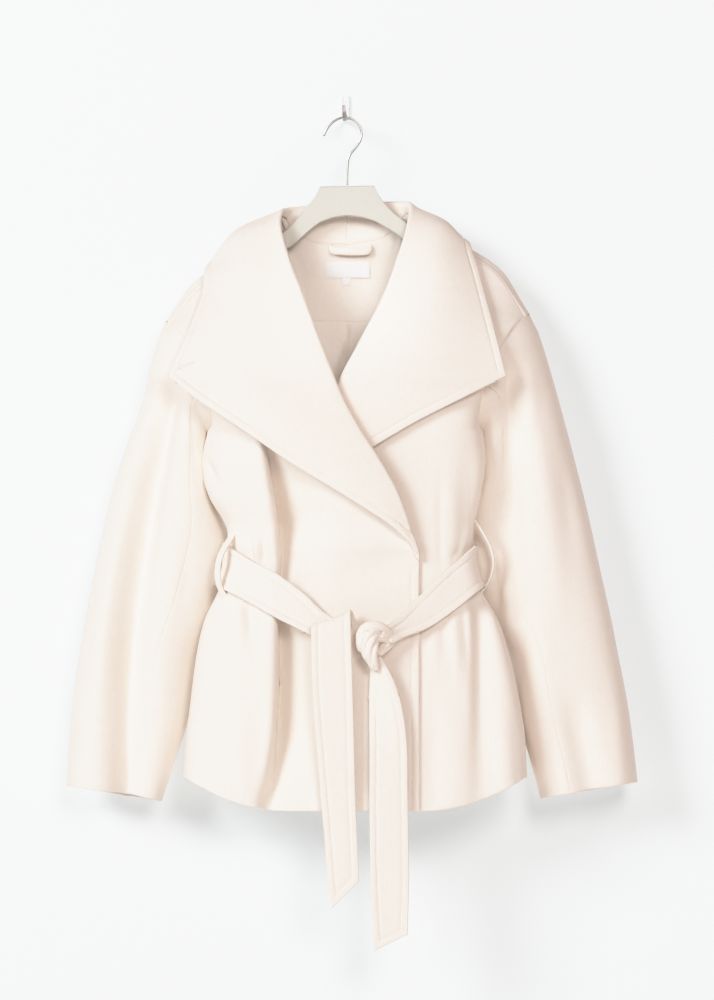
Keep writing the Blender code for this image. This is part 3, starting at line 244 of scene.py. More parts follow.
COLLAR_COLUMNS = "g igx igy id rgx rgy rd egx egy ed bulge"
COLLAR_OVER = table(COLLAR_COLUMNS,
                    (560, 417.6, 558.5, -74.0, 419.5, 557.6, -75.0, 418.9, 555.4, -75.5, 0.1),
                    (547, 413.0, 548, -73.2, 416.6, 547.5, -77.0, 410.5, 542, -79.5, 0.4),
                    (532, 407.0, 532, -73, 411.0, 532, -79, 395.5, 529, -83.5, 1.0),
                    (496, 393.0, 496, -79, 398.5, 496, -86, 346.0, 496, -90, 2.0),
                    (462, 374.5, 462, -83, 380.0, 462, -90, 290.0, 462, -92, 3.0),
                    (431, 355.0, 431, -84, 360.0, 431, -91, 245.0, 431, -91, 4.0),
                    (396, 336.0, 396, -81, 341.0, 396, -88, 193.0, 396, -77, 5.0),
                    (378, 328.5, 378, -78, 333.5, 378, -85, 167.5, 376.5, -64, 5.0),
                    (345, 315.5, 345, -70, 320.5, 345, -77, 181.7, 345, -57, 6.0),
                    (321, 306.5, 321, -63, 311.5, 321, -70, 191.7, 322, -47, 7.0),
                    (290, 295.0, 290, -50, 300.0, 290, -57, 202.0, 291, -28, 9.0),
                    (262, 284.0, 263, -33, 289.0, 261, -42, 205.0, 271, -12, 11.0),
                    (238, 277.5, 226, -13, 279.5, 223, -22, 209.0, 266, 3, 15.0),
                    (228, 281.0, 216, 0, 283.5, 210.0, -5, 217.0, 274, 22, 16.0),
                    (223, 285.5, 219.5, 9, 289.5, 209, 4, 234.0, 289, 30, 13.0),
                    (218, 296.0, 233, 13, 299.0, 208, 12, 257.0, 302, 34, 9.0),
                    (208, 320.0, 243.5, 15.5, 321.0, 206.5, 18, 300.0, 316, 36, 5.0),
                    (198, 347.0, 244, 17, 347.0, 205, 20, 347.0, 322, 37, 3.0))
COLLAR_UNDER = table(COLLAR_COLUMNS,
                     (496, 344.0, 498, -66, 339.5, 494, -70, 343.5, 486, -72, 0.5),
                     (462, 341.0, 462, -68, 336.0, 462, -73, 358.0, 459, -75, 0.5),
                     (431, 338.5, 431, -70, 333.5, 431, -76, 399.0, 431, -79, 1.0),
                     (396, 340.0, 396, -70, 335.0, 396, -76, 466.0, 396, -75, 4.0),
                     (378, 346.5, 378, -68, 341.5, 378, -74, 506.7, 376, -62, 5.0),
                     (345, 363.5, 345, -61, 359.0, 345, -67, 499.0, 345, -56, 6.0),
                     (321, 376.5, 321, -54, 371.5, 321, -60, 492.5, 321, -46, 7.0),
                     (290, 392.0, 290, -44, 387.0, 290, -51, 484.0, 290, -30, 8.0),
                     (262, 403.0, 262, -30, 398.0, 259, -38, 474.5, 259, -19, 10.0),
                     (238, 412.0, 226, -13, 408.5, 223, -21, 467.0, 243, 0, 10.0),
                     (228, 409.0, 214, 0, 411.0, 206, -6, 461.0, 253, 21, 11.0),
                     (223, 404.5, 216, 9, 406.5, 203, 4, 449.0, 270, 28, 10.0),
                     (218, 394.0, 230, 13, 397.0, 203, 12, 432.0, 285, 32, 8.0),
                     (208, 373.0, 241, 15.5, 374.0, 203.5, 17.5, 395.0, 304, 36, 5.0),
                     (198, 347.0, 244, 17, 347.0, 205, 20, 347.0, 322, 37, 3.0))
COLLARS = {"right": COLLAR_OVER, "left": COLLAR_UNDER}
TIP = 378.0            # the station of each lapel's tip
NECK_G, BACK_G = 238.0, 198.0
SHOULDER_COLUMNS = "s sgx sgy rgx rgy lgx lgy"
SHOULDER = {
    "left": table(SHOULDER_COLUMNS,
                  (0.00, 412, 226, 409, 214.5, 396, 322), (0.30, 440, 243, 442, 234, 424, 325),
                  (0.55, 466, 256, 469, 249, 452, 331), (0.80, 495, 274, 500, 270, 482, 342),
                  (1.00, 524, 316, 529, 316, 507, 356)),
    "right": table(SHOULDER_COLUMNS,
                   (0.00, 277.5, 226, 281, 216.5, 298, 322), (0.30, 250, 247, 248, 238.5, 270, 326),
                   (0.55, 223, 272, 220, 264.5, 246, 333), (0.80, 196, 293, 191.5, 285.5, 216, 346),
                   (1.00, 170.5, 323, 166, 323, 186, 360)),
}
SEAM_D, RIDGE_D, YOKE_D = -13.0, 0.0, 25.0
FOLDS = {"right": FOLD_RIGHT, "left": FOLD_LEFT}
FRONT_D = {"right": "over", "left": "under"}
PLEAT = table("gy deep wide", (322, 3, 5), (345, 7, 8), (400, 8, 10), (480, 5, 12), (560, 1, 14), (800, 0, 14))


def shoulder_seam(side, s):
    out = read(SHOULDER[side], "s", "sgx sgy", s)
    p = np.concatenate([out, np.full(np.shape(s), SEAM_D)[..., None]], -1)
    neck = read(COLLARS[side], "g", "igx igy id", NECK_G)
    arm = armhole(side, 15.0)
    lead = smooth([0, 0.15], [1, 0], s)[..., None]
    tail = smooth([0.8, 1], [0, 1], s)[..., None]
    p = p + (neck - np.array([*read(SHOULDER[side], "s", "sgx sgy", 0.0), SEAM_D])) * lead
    return p + (arm - np.array([*read(SHOULDER[side], "s", "sgx sgy", 1.0), SEAM_D])) * tail


# ---------------------------------------------------------------- dense grids of the cloth's middle
# extra lines of points beside a free edge, in millimetres from it, so that its welt has a shape
NEAR_EDGE = np.array([0, 0.9, 2.2, 3.8, 5.4, 6.6, 7.4, 8.2, 9.0, 9.9, 11.6])


def near_edge(run, count, start_edge=False, end_edge=True):
    """Places along a line of that length: count of them evenly, and more beside its free edges."""
    a = NEAR_EDGE if start_edge else np.array([0.0])
    b = run - NEAR_EDGE[::-1] if end_edge else np.array([run])
    lo = a[-1] + (2.0 if start_edge else 0)
    hi = b[0] - (2.0 if end_edge else 0)
    return np.concatenate([a, np.linspace(lo, hi, count)[(0 if start_edge else 1):(None if end_edge else -1)], b])


def front_line(side, start, end, drop, count):
    sign = 1.0 if side == "right" else -1.0
    width = (end[0] - start[0]) * sign
    corner = min(CORNER[side][0], width)
    off = np.linspace(0, 1, 500) ** 2.2 * width
    q = swell(off / corner, CORNER[side][1])
    gx = start[0] + sign * off
    d = start[2] + (end[2] - start[2]) * q
    if drop is None:
        gy = start[1] + (end[1] - start[1]) * off / width
    else:
        gy = start[1] + drop * (1 - (1 - np.clip(off / 105, 0, 1)) ** 2)
    d = d + fold(FOLDS[side], gx, gy)
    line = draft(np.stack([gx, gy, d], -1))
    run = length_of(line)[-1]
    return at_run(line, near_edge(run, count, True))


def front(side, count=112, levels=100, upper=60):
    collar = COLLARS[side]
    rows = []
    for level in np.linspace(LEVELS[0], LEVELS[-1], levels):
        b = {c: float(smooth(LEVELS, BODY[c], level)) for c in BODY}
        start = [b[side], level, b["side"]]
        depth = b[FRONT_D[side]]
        edge = [WRAP_GX if side == "right" else WRAP_UNDER_GX, level + b["drop"], depth]
        lapel = read(collar, "g", "igx igy id", min(level, collar["g"][0]))
        if level > FOOT[side]:
            w = step(FOOT[side] + (13 if side == "right" else 24), FOOT[side], level)
            end = [edge[0] * (1 - w) + lapel[0] * w, edge[1], edge[2] * (1 - w) + lapel[2] * w]
            rows.append(front_line(side, start, end, b["drop"], count))
        else:
            rows.append(front_line(side, start, lapel, None, count))
    for phi in np.linspace(180, 30, upper)[1:]:
        g = 431 - (431 - NECK_G) * (180 - phi) / 165
        rows.append(front_line(side, armhole(side, phi), read(collar, "g", "igx igy id", g), None, count))
    seam = draft(shoulder_seam(side, np.linspace(1, 0, 200)))
    seam = at_run(seam, near_edge(length_of(seam)[-1], count, True))
    last = rows[-1]
    rows += [last + (seam - last) * f for f in (0.15, 0.3, 0.45, 0.6, 0.72, 0.8, 0.86, 0.9, 0.93, 0.96, 0.98, 1.0)]
    return np.array(rows)


YOKE_PHI = np.linspace(15, -75, 300)


def beside_seam(line):
    """Points along a line down the yoke, closer together near its start, the forward shoulder seam."""
    run = length_of(line)[-1]
    return at_run(line, np.concatenate([NEAR_EDGE, np.linspace(13.5, run, 30)]))



def over_shoulder(start, ridge, low):
    points = [start]
    if start[2] < RIDGE_D - 4:
        points.append(ridge)
    behind = ridge + (low - ridge) * 0.12
    behind[2] = 14.0
    points.append(behind)
    half = ridge + (low - ridge) * 0.45
    half[2] = 21.0
    points += [half, low]
    return beside_seam(bend(draft(points), 400))


def yoke_column(side, s):
    rgx, rgy, lgx, lgy = read(SHOULDER[side], "s", "rgx rgy lgx lgy", s)
    return over_shoulder(shoulder_seam(side, np.array(s, float)), np.array([rgx, rgy, RIDGE_D]),
                         np.array([lgx, lgy, YOKE_D]))


def neck_column(side, g):
    start = read(COLLARS[side], "g", "igx igy id", g)
    run = (NECK_G - g) / (NECK_G - BACK_G)
    neck = read(SHOULDER[side], "s", "lgx lgy", 0.0)
    low = np.array([neck[0] + (347 - neck[0]) * run, 322.0, YOKE_D])
    ridge = np.array([*read(SHOULDER[side], "s", "rgx rgy", 0.0), RIDGE_D])
    half = start * 0.6 + low * 0.4
    half[2] = 21.0
    plain = beside_seam(bend(draft([start, half, low]), 400))
    w = float(step(2, 8, start[2]))
    if w >= 1:
        return plain
    return over_shoulder(start, ridge, low) * (1 - w) + plain * w


def yoke(count=44):
    s = np.linspace(1, 0, count)
    neck = np.linspace(NECK_G, BACK_G, 26)[1:]
    columns = []
    for side in ("right", "left"):
        arm = beside_seam(draft(armhole(side, YOKE_PHI)))
        part = []
        for v in s[1:]:
            w = float(step(0.86, 1.0, v))
            part.append(yoke_column(side, v) * (1 - w) + arm * w)
        part = [arm] + part + [neck_column(side, g) for g in neck]
        columns.append(part)
    grid = columns[0] + columns[1][-2::-1]
    return np.swapaxes(np.array(grid), 0, 1)


def back_line(a, b, back_d, drop, count, square):
    width = b[0] - a[0]
    mid = 0.5 - 0.5 * np.cos(np.linspace(0, math.pi, 601))
    off = mid * width
    near = np.minimum(off, width - off)
    q = swell(near / CORNER_B, square)
    side = a[2] + (b[2] - a[2]) * mid
    gy = a[1] + (b[1] - a[1]) * mid + drop * (1 - (1 - np.clip(near / 95, 0, 1)) ** 2)
    gx = a[0] + off
    deep, wide = read(PLEAT, "gy", "deep wide", gy).T
    d = side + (back_d - side) * q - deep * np.exp(-((gx - 348) / wide) ** 2)
    return spread(draft(np.stack([gx, gy, d], -1)), count)


def back(yoke_grid, count=130, levels=100):
    seam = spread(yoke_grid[-1], count)
    rows = []
    for phi in np.linspace(-90, -180, 34):
        f = (-90 - phi) / 90
        rows.append(back_line(armhole("right", phi), armhole("left", phi), YOKE_D, -26 * (1 - f), count, 2.2))
    rows = [seam + (rows[0] - seam) * f for f in np.linspace(0, 1, 8)[:-1]] + rows
    for level in np.linspace(LEVELS[-1], LEVELS[0], levels)[1:]:
        b = {c: float(smooth(LEVELS, BODY[c], level)) for c in BODY}
        rows.append(back_line([b["right"], level, b["side"]], [b["left"], level, b["side"]], b["back"],
                              b["drop_b"], count, b["round"]))
    return np.array(rows)


def sleeve(side, rows=120):
    v = np.concatenate([np.linspace(0, 0.08, 12)[:-1], np.linspace(0.08, 1, rows)])
    top_phi = np.linspace(BACK_SEAM, FRONT_SEAM, 96)
    low_phi = np.linspace(FRONT_SEAM, 360 + BACK_SEAM, 70)
    return (draft([sleeve_ring(side, x, top_phi) for x in v]), draft([sleeve_ring(side, x, low_phi) for x in v]))


def collar_row(tab, g, outline):
    """One station: its inner edge, roll and outer edge; the outer edge has a corner at the tip."""
    row = read(tab, "g", COLLAR_COLUMNS[2:], g)
    keep = tab["g"] >= TIP if g >= TIP else tab["g"] <= TIP
    for k, c in ((6, "egx"), (7, "egy"), (8, "ed")):
        row[k] = smooth(tab["g"][keep], tab[c][keep], g)
    if outline is not None:
        row[6], row[7] = outline(g, row[6], row[7])
    return row


def collar_line(row, across, slant=1.0):
    i, r, e = draft([row[0:3], row[3:6], row[6:9]])
    bulge = row[9]
    a, b = unit(i - r), unit((r * 0.4 + e * 0.6) - r)
    out, side = -unit(a + b), unit(b - a)
    radius = min(ROLL, 0.35 * np.linalg.norm(e - r) + 0.4)
    r_in = r - out * radius - side * radius * 0.9
    r_out = r - out * radius + side * radius * 0.9
    middle = r_out * 0.5 + e * 0.5
    chest = draft([347.0, max(300.0, (row[4] + row[7]) / 2), -20.0])
    away, run = middle - chest, unit(e - r_out)
    middle = middle + unit(away - run * (away * run).sum()) * bulge
    points = [i]
    if np.linalg.norm(i - r_in) > 6:
        points.append(r_in)
    fine = bend([*points, r, r_out, middle, e], 500, 60)
    run = length_of(fine)
    roll = run[np.linalg.norm(fine - r, axis=1).argmin()]
    rest = run[-1] - roll
    # from the inner edge to the roll, round it, over the fall, and the lines beside the outer edge
    share = min(slant, rest / 26.0)
    edge = run[-1] - NEAR_EDGE[::-1] * share
    first = np.linspace(0, max(roll - 4.0, roll * 0.4), 8)[:-1]
    round_it = np.linspace(max(roll - 4.0, roll * 0.4), roll + min(7.0, rest * 0.2), 12)
    fall = np.linspace(round_it[-1], edge[0], across + 2)[1:-1]
    return at_run(fine, np.concatenate([first, round_it, fall, edge]))


def collar(side, across=44):
    tab = COLLARS[side]
    g0 = tab["g"][0]
    g = np.concatenate([np.linspace(g0, TIP, int((g0 - TIP) / 1.5)), np.linspace(TIP, 300, 54)[1:],
                        np.linspace(300, NECK_G, 46)[1:], np.linspace(NECK_G, BACK_G, 60)[1:]])
    rows = [collar_row(tab, v, None) for v in g]
    steep = 1.75 if side == "right" else 2.1
    slant = 1 + (steep - 1) * step(379, 392, g)
    return np.array([collar_line(row, across, float(k)) for row, k in zip(rows, slant)]), g


# ---------------------------------------------------------------- shells
PIECES = {}


class Shell:
    """A sheet of cloth about a grid: thickness and relief may differ from point to point."""

    def __init__(self, name, grid, thick, turned=False, mat="wool", draw_in=0.0):
        self.name, self.mid, self.mat = name, np.array(grid, float), mat
        self.turned = turned
        self.half = np.full(self.mid.shape[:2], thick / 2)
        self.place = undraft(self.mid)
        self.facing()
        if draw_in:
            self.draw(draw_in)

    def facing(self):
        across = np.gradient(self.mid, axis=1)
        along = np.gradient(self.mid, axis=0)
        self.normal = unit(np.cross(across, along)) * (-1 if self.turned else 1)

    def draw(self, gap, corners=None):
        """Draws every edge back, for a rounded edge whose outside lies on the seam line, but not a corner."""
        m = self.mid
        new = m.copy()
        rows, cols = m.shape[:2]
        tips = m[[0, 0, -1, -1], [0, -1, 0, -1]]
        every = slice(None)
        for edge, inner in (((0, every), (1, every)), ((-1, every), (-2, every)),
                            ((every, 0), (every, 1)), ((every, -1), (every, -2))):
            w = np.ones(len(m[edge]))
            if corners is not None:
                for t in tips[list(corners)]:
                    w = w * step(1.0, 7.0, np.linalg.norm(m[edge] - t, axis=-1))
            new[edge] = new[edge] + unit(m[inner] - m[edge]) * gap * w[:, None]
        self.mid = new

    def push(self, off):
        """Moves the sheet along its normals."""
        self.mid = self.mid + self.normal * off[..., None]

    def build(self, rounds=3):
        rows, cols = self.mid.shape[:2]
        self.facing()
        for (r, c), n in getattr(self, "rim_normal", {}).items():
            self.normal[r, c] = n
        half = self.normal * self.half[..., None]
        outer, inner = (self.mid + half).reshape(-1, 3), (self.mid - half).reshape(-1, 3)
        n = rows * cols
        idx = np.arange(n).reshape(rows, cols)
        a, b, e, f = idx[:-1, :-1], idx[:-1, 1:], idx[1:, 1:], idx[1:, :-1]
        faces = np.concatenate([np.stack([a, b, e, f], -1).reshape(-1, 4),
                                n + np.stack([a, f, e, b], -1).reshape(-1, 4)])
        rim = ([(0, c) for c in range(cols)] + [(r, cols - 1) for r in range(1, rows)]
               + [(rows - 1, c) for c in range(cols - 2, -1, -1)] + [(r, 0) for r in range(rows - 2, 0, -1)])
        rr, cc = np.array(rim).T
        centre = self.mid[rr, cc]
        ri, ci = np.clip(rr, 1, rows - 2), np.clip(cc, 1, cols - 2)
        out = centre - self.mid[ri, ci]
        nn = self.normal[rr, cc]
        out = unit(out - nn * (out * nn).sum(-1, keepdims=True))
        h = self.half[rr, cc][:, None]
        rings = [rr * cols + cc]
        extra = []
        base = 2 * n
        for k in range(1, rounds + 1):
            t = math.pi * k / (rounds + 1)
            extra.append(centre + out * h * math.sin(t) * 0.9 + nn * h * math.cos(t))
            rings.append(base + np.arange(len(rim)))
            base += len(rim)
        rings.append(n + rr * cols + cc)
        sides = []
        for p, q in zip(rings, rings[1:]):
            sides.append(np.stack([p, q, np.roll(q, -1), np.roll(p, -1)], -1))
        faces = np.concatenate([faces, *sides])
        if self.turned:
            faces = faces[:, ::-1]
        points = np.concatenate([outer, inner, *extra])
        return mesh_object(self.name, points, faces, self.mat)


def mesh_object(name, points, faces, mat):
    mesh = bpy.data.meshes.new(name)
    faces = np.asarray(faces)
    mesh.vertices.add(len(points))
    mesh.vertices.foreach_set("co", (np.asarray(points, np.float64) / 1000).astype(np.float32).ravel())
    size = faces.shape[1]
    mesh.loops.add(faces.size)
    mesh.loops.foreach_set("vertex_index", faces.ravel().astype(np.int32))
    mesh.polygons.add(len(faces))
    mesh.polygons.foreach_set("loop_start", (np.arange(len(faces)) * size).astype(np.int32))
    mesh.update(calc_edges=True)
    mesh.validate()
    mesh.shade_smooth()
    ob = bpy.data.objects.new(name, mesh)
    bpy.context.scene.collection.objects.link(ob)
    ob.data.materials.append(MATS[mat])
    PIECES[name] = ob
    return ob


# ---------------------------------------------------------------- relief: creases, puckers and welts
def from_path(place, path):
    """Distance in squares from each place to a path of (gx, gy), and how far along it, 0 to 1."""
    path = np.asarray(path, float)
    gx, gy = place[..., 0], place[..., 1]
    best = np.full(gx.shape, 1e9)
    along = np.zeros(gx.shape)
    sign = np.zeros(gx.shape)
    run = length_of(path)
    for k in range(len(path) - 1):
        a, b = path[k], path[k + 1]
        ab = b - a
        t = np.clip(((gx - a[0]) * ab[0] + (gy - a[1]) * ab[1]) / (ab @ ab), 0, 1)
        dx, dy = gx - a[0] - ab[0] * t, gy - a[1] - ab[1] * t
        dist = np.hypot(dx, dy)
        closer = dist < best
        best = np.where(closer, dist, best)
        along = np.where(closer, (run[k] + t * (run[k + 1] - run[k])) / run[-1], along)
        sign = np.where(closer, np.sign(ab[0] * dy - ab[1] * dx), sign)
    return best, along, sign


def crease(shell, height, wide, path, lead=0.25, tail=0.25, front=True, other=None):
    """A soft ridge (+) or trough (-) along a path, fading out over its ends. other: its reach on one side."""
    path = bend(np.array([(x, y, 0.0) for x, y in path]), 24)[:, :2] if len(path) > 2 else np.array(path, float)
    dist, along, sign = from_path(shell.place, path)
    reach = np.where(sign > 0, wide if other is None else other, wide)
    ends = step(0, max(lead, 1e-3), along) * step(0, max(tail, 1e-3), 1 - along)
    ends = np.where(lead == 0, step(0, max(tail, 1e-3), 1 - along), ends) if lead == 0 else ends
    facing = np.clip(-shell.normal[..., 1] * (1 if front else -1) * 3 + 0.3, 0, 1)
    return height * np.exp(-(dist / reach) ** 2) * ends * facing


def waves(shell, height, size, seed):
    """A faint unevenness of cloth that has been handled, from a few long waves."""
    r = np.random.default_rng(seed)
    p = shell.mid
    out = 0
    for k in range(7):
        d = unit(r.normal(size=3) * np.array([1.3, 1.0, 0.55]))
        out = out + math.cos(k) * np.sin(2 * math.pi * (p @ d) / (size * r.uniform(0.7, 1.6)) + r.uniform(0, 6.28))
    return height * out / 3


def welt(dist, base, full=0.35, groove=0.75, line=WELT):
    """Half the thickness beside a stitched edge, dist millimetres inside it."""
    puff = full * np.clip(1 - ((dist - line * 0.42) / (line * 0.52)) ** 2, 0, 1)
    dip = -groove * np.exp(-((dist - line) / 1.0) ** 2)
    return base + puff + dip


# ---------------------------------------------------------------- materials
def nodes_of(mat):
    mat.use_nodes = True
    tree = mat.node_tree
    return tree, tree.nodes, tree.links, tree.nodes["Principled BSDF"]


def noise(tree, scale, detail=3.0, rough=0.55, stretch=(1, 1, 1), distortion=0.0):
    coord = tree.nodes.new("ShaderNodeTexCoord")
    mapping = tree.nodes.new("ShaderNodeMapping")
    mapping.inputs["Scale"].default_value = stretch
    tex = tree.nodes.new("ShaderNodeTexNoise")
    tex.inputs["Scale"].default_value = scale
    tex.inputs["Detail"].default_value = detail
    tex.inputs["Roughness"].default_value = rough
    tex.inputs["Distortion"].default_value = distortion
    tree.links.new(coord.outputs["Object"], mapping.inputs["Vector"])
    tree.links.new(mapping.outputs["Vector"], tex.inputs["Vector"])
    return tex.outputs["Fac"]


def math_node(tree, op, a, b=None, clamp=False):
    n = tree.nodes.new("ShaderNodeMath")
    n.operation = op
    n.use_clamp = clamp
    for k, v in enumerate((a, b)):
        if v is None:
            continue
        if isinstance(v, (int, float)):
            n.inputs[k].default_value = v
        else:
            tree.links.new(v, n.inputs[k])
    return n.outputs[0]


def mix_colour(tree, factor, a, b):
    m = tree.nodes.new("ShaderNodeMix")
    m.data_type = "RGBA"
    if isinstance(factor, (int, float)):
        m.inputs["Factor"].default_value = factor
    else:
        tree.links.new(factor, m.inputs["Factor"])
    for sock, v in ((m.inputs[6], a), (m.inputs[7], b)):
        if isinstance(v, tuple):
            sock.default_value = (*v, 1) if len(v) == 3 else v
        else:
            tree.links.new(v, sock)
    return m.outputs[2]


def bump(tree, height, strength, distance, normal=None):
    b = tree.nodes.new("ShaderNodeBump")
    b.inputs["Strength"].default_value = strength
    b.inputs["Distance"].default_value = distance
    tree.links.new(height, b.inputs["Height"])
    if normal is not None:
        tree.links.new(normal, b.inputs["Normal"])
    return b.outputs["Normal"]


def wool_material(name, light, dark, nap=1.0):
    """Brushed wool: short fibres lying mostly downwards over a hidden weave, matt, with a soft sheen."""
    mat = bpy.data.materials.new(name)
    tree, nodes, links, b = nodes_of(mat)
    fibres = noise(tree, 620, 4.0, 0.62, (1.0, 1.0, 0.30), 0.6)
    fluff = noise(tree, 210, 3.0, 0.6, (1.0, 1.0, 0.55), 0.3)
    cloud = noise(tree, 34, 3.0, 0.6, (1.0, 1.0, 0.6))
    broad = noise(tree, 6.0, 2.0, 0.5)
    tone = math_node(tree, "ADD", math_node(tree, "MULTIPLY", fibres, 0.45),
                     math_node(tree, "ADD", math_node(tree, "MULTIPLY", fluff, 0.30),
                               math_node(tree, "ADD", math_node(tree, "MULTIPLY", cloud, 0.15),
                                         math_node(tree, "MULTIPLY", broad, 0.10))))
    ramp = nodes.new("ShaderNodeValToRGB")
    ramp.color_ramp.elements[0].position, ramp.color_ramp.elements[1].position = 0.34, 0.62
    ramp.color_ramp.elements[0].color = (*dark, 1)
    ramp.color_ramp.elements[1].color = (*light, 1)
    links.new(tone, ramp.inputs["Fac"])
    links.new(ramp.outputs["Color"], b.inputs["Base Color"])
    fine = bump(tree, fibres, 0.22 * nap, 0.0004)
    rough = bump(tree, fluff, 0.20 * nap, 0.0010, fine)
    links.new(bump(tree, cloud, 0.10 * nap, 0.0030, rough), b.inputs["Normal"])
    b.inputs["Roughness"].default_value = 0.93
    b.inputs["Specular IOR Level"].default_value = 0.18
    b.inputs["Sheen Weight"].default_value = 0.22
    b.inputs["Sheen Roughness"].default_value = 0.45
    b.inputs["Sheen Tint"].default_value = (1.0, 0.97, 0.94, 1)
    return mat


def woven_label(name, colour):
    mat = bpy.data.materials.new(name)
    tree, nodes, links, b = nodes_of(mat)
    warp = noise(tree, 2400, 1.0, 0.4, (1.0, 1.0, 0.12))
    weft = noise(tree, 2400, 1.0, 0.4, (0.10, 1.0, 1.0))
    both = math_node(tree, "MULTIPLY", warp, weft)
    links.new(mix_colour(tree, math_node(tree, "MULTIPLY", both, 2.2, True), tuple(c * 0.93 for c in colour), colour),
              b.inputs["Base Color"])
    links.new(bump(tree, both, 0.25, 0.0003), b.inputs["Normal"])
    b.inputs["Roughness"].default_value = 0.5
    b.inputs["Sheen Weight"].default_value = 0.15
    return mat


def painted_board(name, colour):
    """Beige lacquered board: nearly smooth, a faint orange peel and a faint cloudy change of tone and gloss."""
    mat = bpy.data.materials.new(name)
    tree, nodes, links, b = nodes_of(mat)
    peel = noise(tree, 900, 2.0, 0.5)
    cloud = noise(tree, 22, 3.0, 0.6)
    links.new(mix_colour(tree, cloud, tuple(c * 0.965 for c in colour), tuple(min(1, c * 1.02) for c in colour)),
              b.inputs["Base Color"])
    rough = nodes.new("ShaderNodeMapRange")
    rough.inputs["To Min"].default_value, rough.inputs["To Max"].default_value = 0.44, 0.58
    links.new(cloud, rough.inputs["Value"])
    links.new(rough.outputs["Result"], b.inputs["Roughness"])
    links.new(bump(tree, peel, 0.05, 0.0003), b.inputs["Normal"])
    return mat


def metal(name, colour, low, high):
    mat = bpy.data.materials.new(name)
    tree, nodes, links, b = nodes_of(mat)
    grain = noise(tree, 700, 3.0, 0.6, (1.0, 1.0, 0.15))
    cloud = noise(tree, 60, 2.0, 0.5)
    links.new(mix_colour(tree, cloud, tuple(c * 0.94 for c in colour), colour), b.inputs["Base Color"])
    rough = nodes.new("ShaderNodeMapRange")
    rough.inputs["To Min"].default_value, rough.inputs["To Max"].default_value = low, high
    links.new(grain, rough.inputs["Value"])
    links.new(rough.outputs["Result"], b.inputs["Roughness"])
    links.new(bump(tree, grain, 0.04, 0.0002), b.inputs["Normal"])
    b.inputs["Metallic"].default_value = 1.0
    return mat


MATS = {
    "wool": wool_material("brushed_wool", (0.930, 0.865, 0.795), (0.895, 0.815, 0.735)),
        "thread": wool_material("topstitch_thread", (0.92, 0.87, 0.82), (0.86, 0.79, 0.73), 0.4),
    "label": woven_label("label_satin", (0.95, 0.935, 0.915)),
    "board": painted_board("hanger_lacquer", (0.68, 0.675, 0.61)),
    "wire": metal("hook_nickel", (0.56, 0.55, 0.52), 0.24, 0.38),
    "clip": metal("wall_hook_satin", (0.80, 0.81, 0.83), 0.20, 0.34),
}


# ---------------------------------------------------------------- the body, its sleeves and collar
body = {"right": Shell("front_over_cloth", front("right"), CLOTH),
        "left": Shell("front_under_cloth", front("left"), CLOTH, turned=True)}
yoke_grid = yoke()
yoke_piece = Shell("back_yoke_cloth", yoke_grid, CLOTH)
back_piece = Shell("back_panel_cloth", back(yoke_grid), CLOTH)
sleeves, necks, stations = {}, {}, {}
for side in ("right", "left"):
    top, low = sleeve(side)
    sleeves[side] = (Shell("sleeve_top_" + side + "_cloth", top, CLOTH, turned=side == "right"),
                     Shell("sleeve_under_" + side + "_cloth", low, CLOTH, turned=side == "right"))
    grid, stations[side] = collar(side)
    necks[side] = Shell(("collar_over" if side == "right" else "collar_under") + "_cloth", grid, COLLAR,
                        turned=side == "left")

